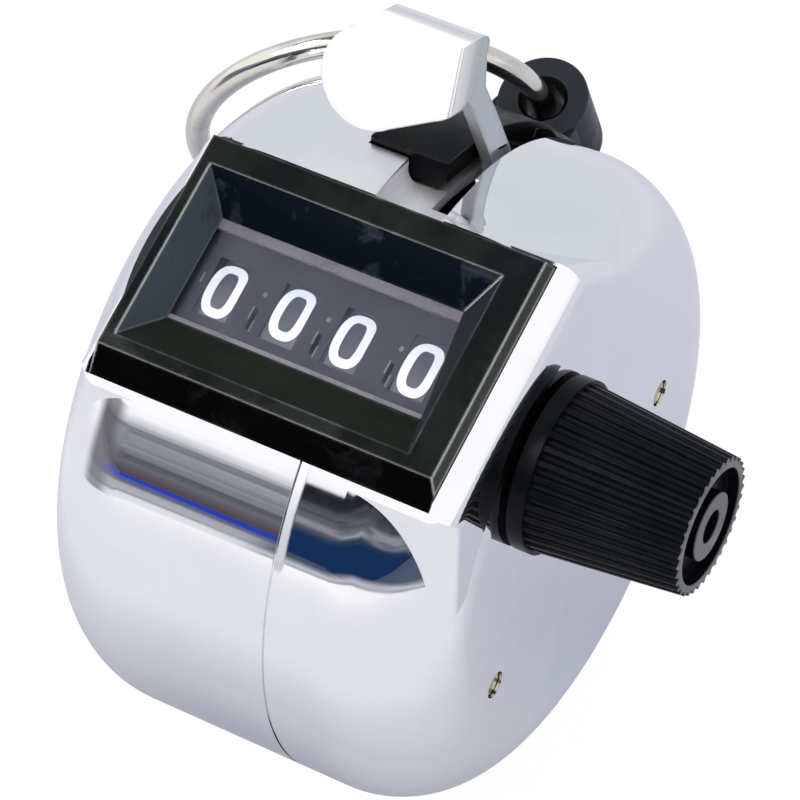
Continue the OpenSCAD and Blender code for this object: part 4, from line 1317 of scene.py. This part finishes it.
@dataclass(frozen=True)
class HorizonBand:
    """The darker strip along the front of the room that the chrome shows under the window.

    Bearings are from the front and positive to the right. Shares are of the band's height, from its foot.

    Attributes:
        left: Shares with their colours, left of the split.
        right: Shares with their colours, right of the split.
        shares: Lowest and highest share that is painted.
        limits: Shares where the band begins and ends.
        split: Bearings between which left passes into right.
        middle: Bearing of its middle.
        sag: How far its foot drops away from its middle: the first number times the bearing to the second's power.
        tall: Height over its middle and how much it loses with each degree of bearing.
        reach: Bearings from the middle where it begins to fade and is gone.
        line: Shares where the blue line on the left begins and ends.
        line_colour: Colour of the blue line.
        pale: Bearings from the middle where the left begins to pale and is pale, how pale, and its colour there.
        streak: How fast the streaks change with the bearing and with the share.
        streak_tones: Values of the noise and the shades that it is mapped to.
        streaked: Shares where the streaks begin and end.
        streak_reach: Bearings from the middle where the streaks begin to fade and are gone.
    """

    left: tuple[tuple[float, Colour], ...] = (
        (-0.10, (0.82, 0.86, 0.92)), (0.00, (0.80, 0.84, 0.90)), (0.03, (0.26, 0.27, 0.30)),
        (0.06, (0.42, 0.44, 0.48)), (0.13, (0.40, 0.42, 0.47)), (0.165, (0.10, 0.11, 0.16)),
        (0.30, (0.10, 0.075, 0.09)), (0.42, (0.15, 0.15, 0.18)), (0.55, (0.20, 0.21, 0.24)),
        (0.70, (0.29, 0.31, 0.355)), (0.82, (0.33, 0.345, 0.39)), (0.87, (0.22, 0.23, 0.26)),
        (0.92, (0.55, 0.57, 0.62)), (1.00, (0.85, 0.86, 0.90)), (1.06, (1.10, 1.10, 1.12)),
    )
    right: tuple[tuple[float, Colour], ...] = (
        (-0.10, (0.80, 0.83, 0.90)), (-0.07, (0.28, 0.30, 0.34)), (-0.03, (0.60, 0.62, 0.68)),
        (0.02, (0.20, 0.22, 0.27)), (0.06, (0.009, 0.032, 0.105)), (0.40, (0.010, 0.035, 0.110)),
        (0.46, (0.030, 0.055, 0.100)), (0.52, (0.24, 0.25, 0.30)), (0.60, (0.22, 0.235, 0.28)),
        (0.70, (0.085, 0.09, 0.11)), (0.84, (0.050, 0.055, 0.065)), (0.97, (0.016, 0.018, 0.028)),
        (1.03, (0.02, 0.02, 0.03)), (1.06, (1.00, 1.00, 1.02)), (1.10, (1.12, 1.12, 1.13)),
    )
    shares: Pair = (-0.10, 1.15)
    limits: tuple[Pair, Pair] = ((-0.095, -0.065), (1.105, 1.135))
    split: Pair = (-29.5, -28.5)
    middle: float = 5.0
    sag: Pair = (0.042, 1.4)
    tall: Pair = (29.0, 0.13)
    reach: Pair = (68.0, 82.0)
    line: tuple[Pair, Pair] = ((0.178, 0.202), (0.258, 0.282))
    line_colour: Colour = (0.03, 0.06, 0.45)
    pale: tuple[float, float, float, Colour] = (44.0, 60.0, 0.8, (0.13, 0.135, 0.15))
    streak: Pair = (0.03, 9.0)
    streak_tones: tuple[float, float, float, float] = (0.36, 0.66, 0.6, 1.45)
    streaked: tuple[Pair, Pair] = ((0.39, 0.51), (0.89, 1.01))
    streak_reach: Pair = (39.0, 46.0)

    def ramp(self, sketch: NodeSketch, share: Socket, stops: tuple) -> Socket:
        """Adds a colour ramp over the painted shares.

        Args:
            sketch: The world's or the floor's nodes.
            share: The share that is looked at.
            stops: Shares with their colours.

        Returns:
            The colour.
        """
        low, high = self.shares
        place = sketch.maths("DIVIDE", sketch.maths("SUBTRACT", share, low), high - low, clamp=True)
        node = sketch.add("ValToRGB", {"Fac": place})
        elements = node.color_ramp.elements
        for index, (level, colour) in enumerate(stops):
            element = elements[index] if index < 2 else elements.new(1.0)
            element.position, element.color = (level - low) / (high - low), (*colour, 1.0)
        return node.outputs["Color"]

    def paint(self, sketch: NodeSketch, towards: Socket, ground: Socket) -> Socket:
        """Lays the band, with its long streaks, over what is behind it.

        The share is the height over the sagging foot, divided by how tall the band is at that bearing.

        Args:
            sketch: The world's or the floor's nodes.
            towards: Direction that is looked at from the counter.
            ground: Colour without the band.

        Returns:
            The colour with the band.
        """
        part = sketch.parts(towards)
        ahead = sketch.times(part["Y"], -1.0)
        bearing = sketch.times(sketch.maths("ARCTAN2", part["X"], ahead), math.degrees(1.0))
        height = sketch.times(sketch.maths("ARCSINE", part["Z"]), math.degrees(1.0))
        aside = sketch.maths("ABSOLUTE", sketch.maths("SUBTRACT", bearing, self.middle))
        drop = sketch.times(sketch.maths("POWER", aside, self.sag[1]), self.sag[0])
        tall = sketch.maths("SUBTRACT", self.tall[0], sketch.times(aside, self.tall[1]))
        share = sketch.maths("DIVIDE", sketch.maths("ADD", height, drop), tall)
        left = self.ramp(sketch, share, self.left)
        left = sketch.blend(sketch.between(share, *self.line), left, self.line_colour)
        start, full, most, pale = self.pale
        left = sketch.blend(sketch.span(aside, start, full, 0.0, most), left, pale)
        colour = sketch.fade(bearing, *self.split, left, self.ramp(sketch, share, self.right))
        along, across = (sketch.times(value, rate) for value, rate in zip((bearing, share), self.streak))
        place = sketch.add("CombineXYZ", {"X": along, "Y": across}).outputs[0]
        shade = sketch.span(sketch.noise(place, 1.0, detail=2.0), *self.streak_tones)
        grey = sketch.add("CombineXYZ", {axis: shade for axis in "XYZ"}).outputs[0]
        lined = sketch.times(sketch.between(share, *self.streaked), sketch.span(aside, *self.streak_reach, 1.0, 0.0))
        colour = sketch.blend(lined, colour, sketch.vector("MULTIPLY", colour, grey))
        inside = sketch.times(sketch.span(aside, *self.reach, 1.0, 0.0), sketch.between(share, *self.limits))
        return sketch.blend(inside, ground, colour)


@dataclass(frozen=True)
class Studio:
    """Pale floor, soft light all round, and the camera at the photograph's angle.

    A fade is two values and the colours below the first and above the second.

    Attributes:
        focal: The camera's focal length, in millimetres.
        sensor: Width of its sensor, in millimetres.
        clip: Nearest distance that it sees.
        eye: Where it stands.
        eye_turn: Its turn about X, Y and Z.
        floor_z: Height of the floor.
        floor_half: Half the width of the floor.
        floor_steps: Points along a side of the floor.
        matt: Colour of the floor as light falls on it.
        glow: Strength of the white that the camera sees of it.
        shares: Share of that white to the camera, and of the painted tones in reflections.
        back: Places along Y where the floor behind the counter begins.
        behind: Fade of the floor behind the counter, with the distance, darker near it as a painted shadow.
        front: Fade of the floor before it, with the distance, darker near it as painted shade.
        near: Fade of the counter's own shade, with the distance from its foot.
        shade: Distances from the foot where this shade begins to fade and is gone.
        sky: Fade of the surroundings, with the direction along Y.
        fill: Strength of the light from all round.
        card: Direction of the dark card overhead that the chrome and the gloss show.
        card_edge: Angles from its middle where its soft edge ends and begins.
        card_colour: Its colour.
        band: The darker strip along the front of the room.
        chin: The place on the counter that mirrors the band.
        foot: Middle of the counter's shade on the floor.
        lamp_size: Width of the lamp.
        lamp_power: Its power, in watts.
        lamp_at: Where it hangs.
        lamp_turn: Its turn about X, Y and Z.
    """

    focal: float = 170.15
    sensor: float = 36.0
    clip: float = 0.01
    eye: Vector = (0.10654, -0.15638, 0.17815)
    eye_turn: Vector = (46.0, 0.0, 30.13)
    floor_z: float = -22.62 * MM
    floor_half: float = 1.6
    floor_steps: int = 9
    matt: Colour = (0.86, 0.86, 0.88)
    glow: float = 1.03
    shares: Pair = (0.94, 0.9)
    back: Pair = (-5.0 * MM, 14.0 * MM)
    behind: Fade = (75.0 * MM, 150.0 * MM, (0.65, 0.66, 0.76), (0.74, 0.77, 0.85))
    front: Fade = (90.0 * MM, 320.0 * MM, (0.88, 0.89, 0.93), (1.12, 1.12, 1.13))
    near: Fade = (10.0 * MM, 24.0 * MM, (0.42, 0.44, 0.50), (0.64, 0.66, 0.71))
    shade: Pair = (18.0 * MM, 50.0 * MM)
    sky: Fade = (0.15, 0.6, (1.15, 1.15, 1.16), (0.74, 0.78, 0.82))
    fill: float = 0.72
    card: Vector = (-0.413646, -0.131156, 0.900941)
    card_edge: Pair = (30.0, 10.0)
    card_colour: Colour = (0.05, 0.055, 0.06)
    band: HorizonBand = HorizonBand()
    chin: Vector = (14.5 * MM, -19.0 * MM, 12.0 * MM)
    foot: Vector = (11.0 * MM, -5.0 * MM, -22.62 * MM)
    lamp_size: float = 0.30
    lamp_power: float = 1.9
    lamp_at: Vector = (-0.25, -0.30, 0.45)
    lamp_turn: Vector = (40.0, 0.0, -40.0)

    def camera(self) -> None:
        """Places the camera as fitted to the photograph."""
        data = bpy.data.cameras.new("photo_camera")
        data.lens, data.sensor_width, data.clip_start = self.focal, self.sensor, self.clip
        camera = put_in_scene("photo_camera", data)
        camera.location = self.eye
        camera.rotation_euler = [math.radians(turn) for turn in self.eye_turn]
        bpy.context.scene.camera = camera

    def tones(self, sketch: NodeSketch) -> Socket:
        """Paints what reflections see of the floor: pale, with the counter's shadow painted darker round its foot, with
        the band on it.

        Args:
            sketch: The floor's nodes.

        Returns:
            The colour.
        """
        place = sketch.add("TexCoord").outputs["Object"]
        away = sketch.vector("LENGTH", place)
        # Painted shadow: the floor that reflections see is darker near the counter.
        front, behind = (sketch.fade(away, *fade) for fade in (self.front, self.behind))
        tone = sketch.fade(sketch.parts(place)["Y"], *self.back, front, behind)
        gap = sketch.vector("DISTANCE", place, self.foot)
        shade = sketch.fade(gap, *self.shade, sketch.fade(gap, *self.near), WHITE)
        towards = sketch.vector("NORMALIZE", sketch.vector("SUBTRACT", place, self.chin))
        return self.band.paint(sketch, towards, sketch.vector("MULTIPLY", tone, shade))

    def floor(self) -> None:
        """Lays a wide plain floor, pale to the camera and in reflections, with a faint shadow."""
        side = np.linspace(-1.0, 1.0, self.floor_steps) * self.floor_half
        x, y = np.meshgrid(side, side, indexing="ij")
        points = np.stack([x, y, np.full_like(x, self.floor_z)], axis=-1).reshape(-1, 3)
        index = np.arange(len(points)).reshape(x.shape)
        quads = np.stack([index[:-1, :-1], index[1:, :-1], index[1:, 1:], index[:-1, 1:]], axis=-1).reshape(-1, 4)
        mesh = bpy.data.meshes.new("studio_floor")
        mesh.from_pydata(points, [], quads.tolist())
        floor = put_in_scene("studio_floor", mesh)
        material = bpy.data.materials.new("studio_floor")
        sketch = NodeSketch(fresh_tree(material))
        path = sketch.add("LightPath").outputs
        matt = sketch.add("BsdfDiffuse", {"Color": self.matt}).outputs[0]
        seen = sketch.add("Emission", {"Color": WHITE, "Strength": self.glow}).outputs[0]
        mirrored = sketch.add("Emission", {"Color": self.tones(sketch), "Strength": 1.0}).outputs[0]
        to_eye, to_mirror = self.shares
        surface = sketch.layer(sketch.times(path["Is Camera Ray"], to_eye), matt, seen)
        surface = sketch.layer(sketch.times(path["Is Glossy Ray"], to_mirror), surface, mirrored)
        sketch.add("OutputMaterial", {"Surface": surface})
        mesh.materials.append(material)

    def surroundings(self) -> None:
        """Paints the world: white to the camera, an even fill on matt surfaces, and a sky with a card in reflections.

        The card covers the directions whose dot product with its own is over the cosine of its edge.
        """
        world = bpy.data.worlds.new("studio_world")
        bpy.context.scene.world = world
        sketch = NodeSketch(fresh_tree(world))
        towards = sketch.add("TexCoord").outputs["Generated"]
        colour = self.band.paint(sketch, towards, sketch.fade(sketch.parts(towards)["Y"], *self.sky))
        edge = (math.cos(math.radians(angle)) for angle in self.card_edge)
        colour = sketch.fade(sketch.vector("DOT_PRODUCT", towards, self.card), *edge, colour, self.card_colour)
        mirrored, even, white = (
            sketch.add("Background", {"Color": tone, "Strength": strength}).outputs[0]
            for tone, strength in ((colour, 1.0), (WHITE, self.fill), (WHITE, 1.0))
        )
        path = sketch.add("LightPath").outputs
        surface = sketch.layer(path["Is Glossy Ray"], even, mirrored)
        sketch.add("OutputWorld", {"Surface": sketch.layer(path["Is Camera Ray"], surface, white)})

    def lamps(self) -> None:
        """Hangs one wide soft lamp up and to the left of the camera."""
        data = bpy.data.lights.new("soft_box", "AREA")
        data.shape, data.energy = "RECTANGLE", self.lamp_power
        data.size = data.size_y = self.lamp_size
        lamp = put_in_scene("soft_box", data)
        lamp.location = self.lamp_at
        lamp.rotation_euler = [math.radians(turn) for turn in self.lamp_turn]

    def build(self) -> None:
        """Sets up camera, floor, surroundings, lamp and the view transform."""
        self.camera()
        self.floor()
        self.surroundings()
        self.lamps()
        bpy.context.scene.view_settings.view_transform = "Standard"


def main() -> None:
    """Builds the studio and the counter."""
    logging.basicConfig(level=logging.INFO)
    finishes = Finishes()
    Studio().build()
    CounterParts().build(finishes)
    NumberRow().build(finishes)
    DialMask().build(finishes)
    WindowFrame().build(finishes)


if __name__ == "__main__":
    main()
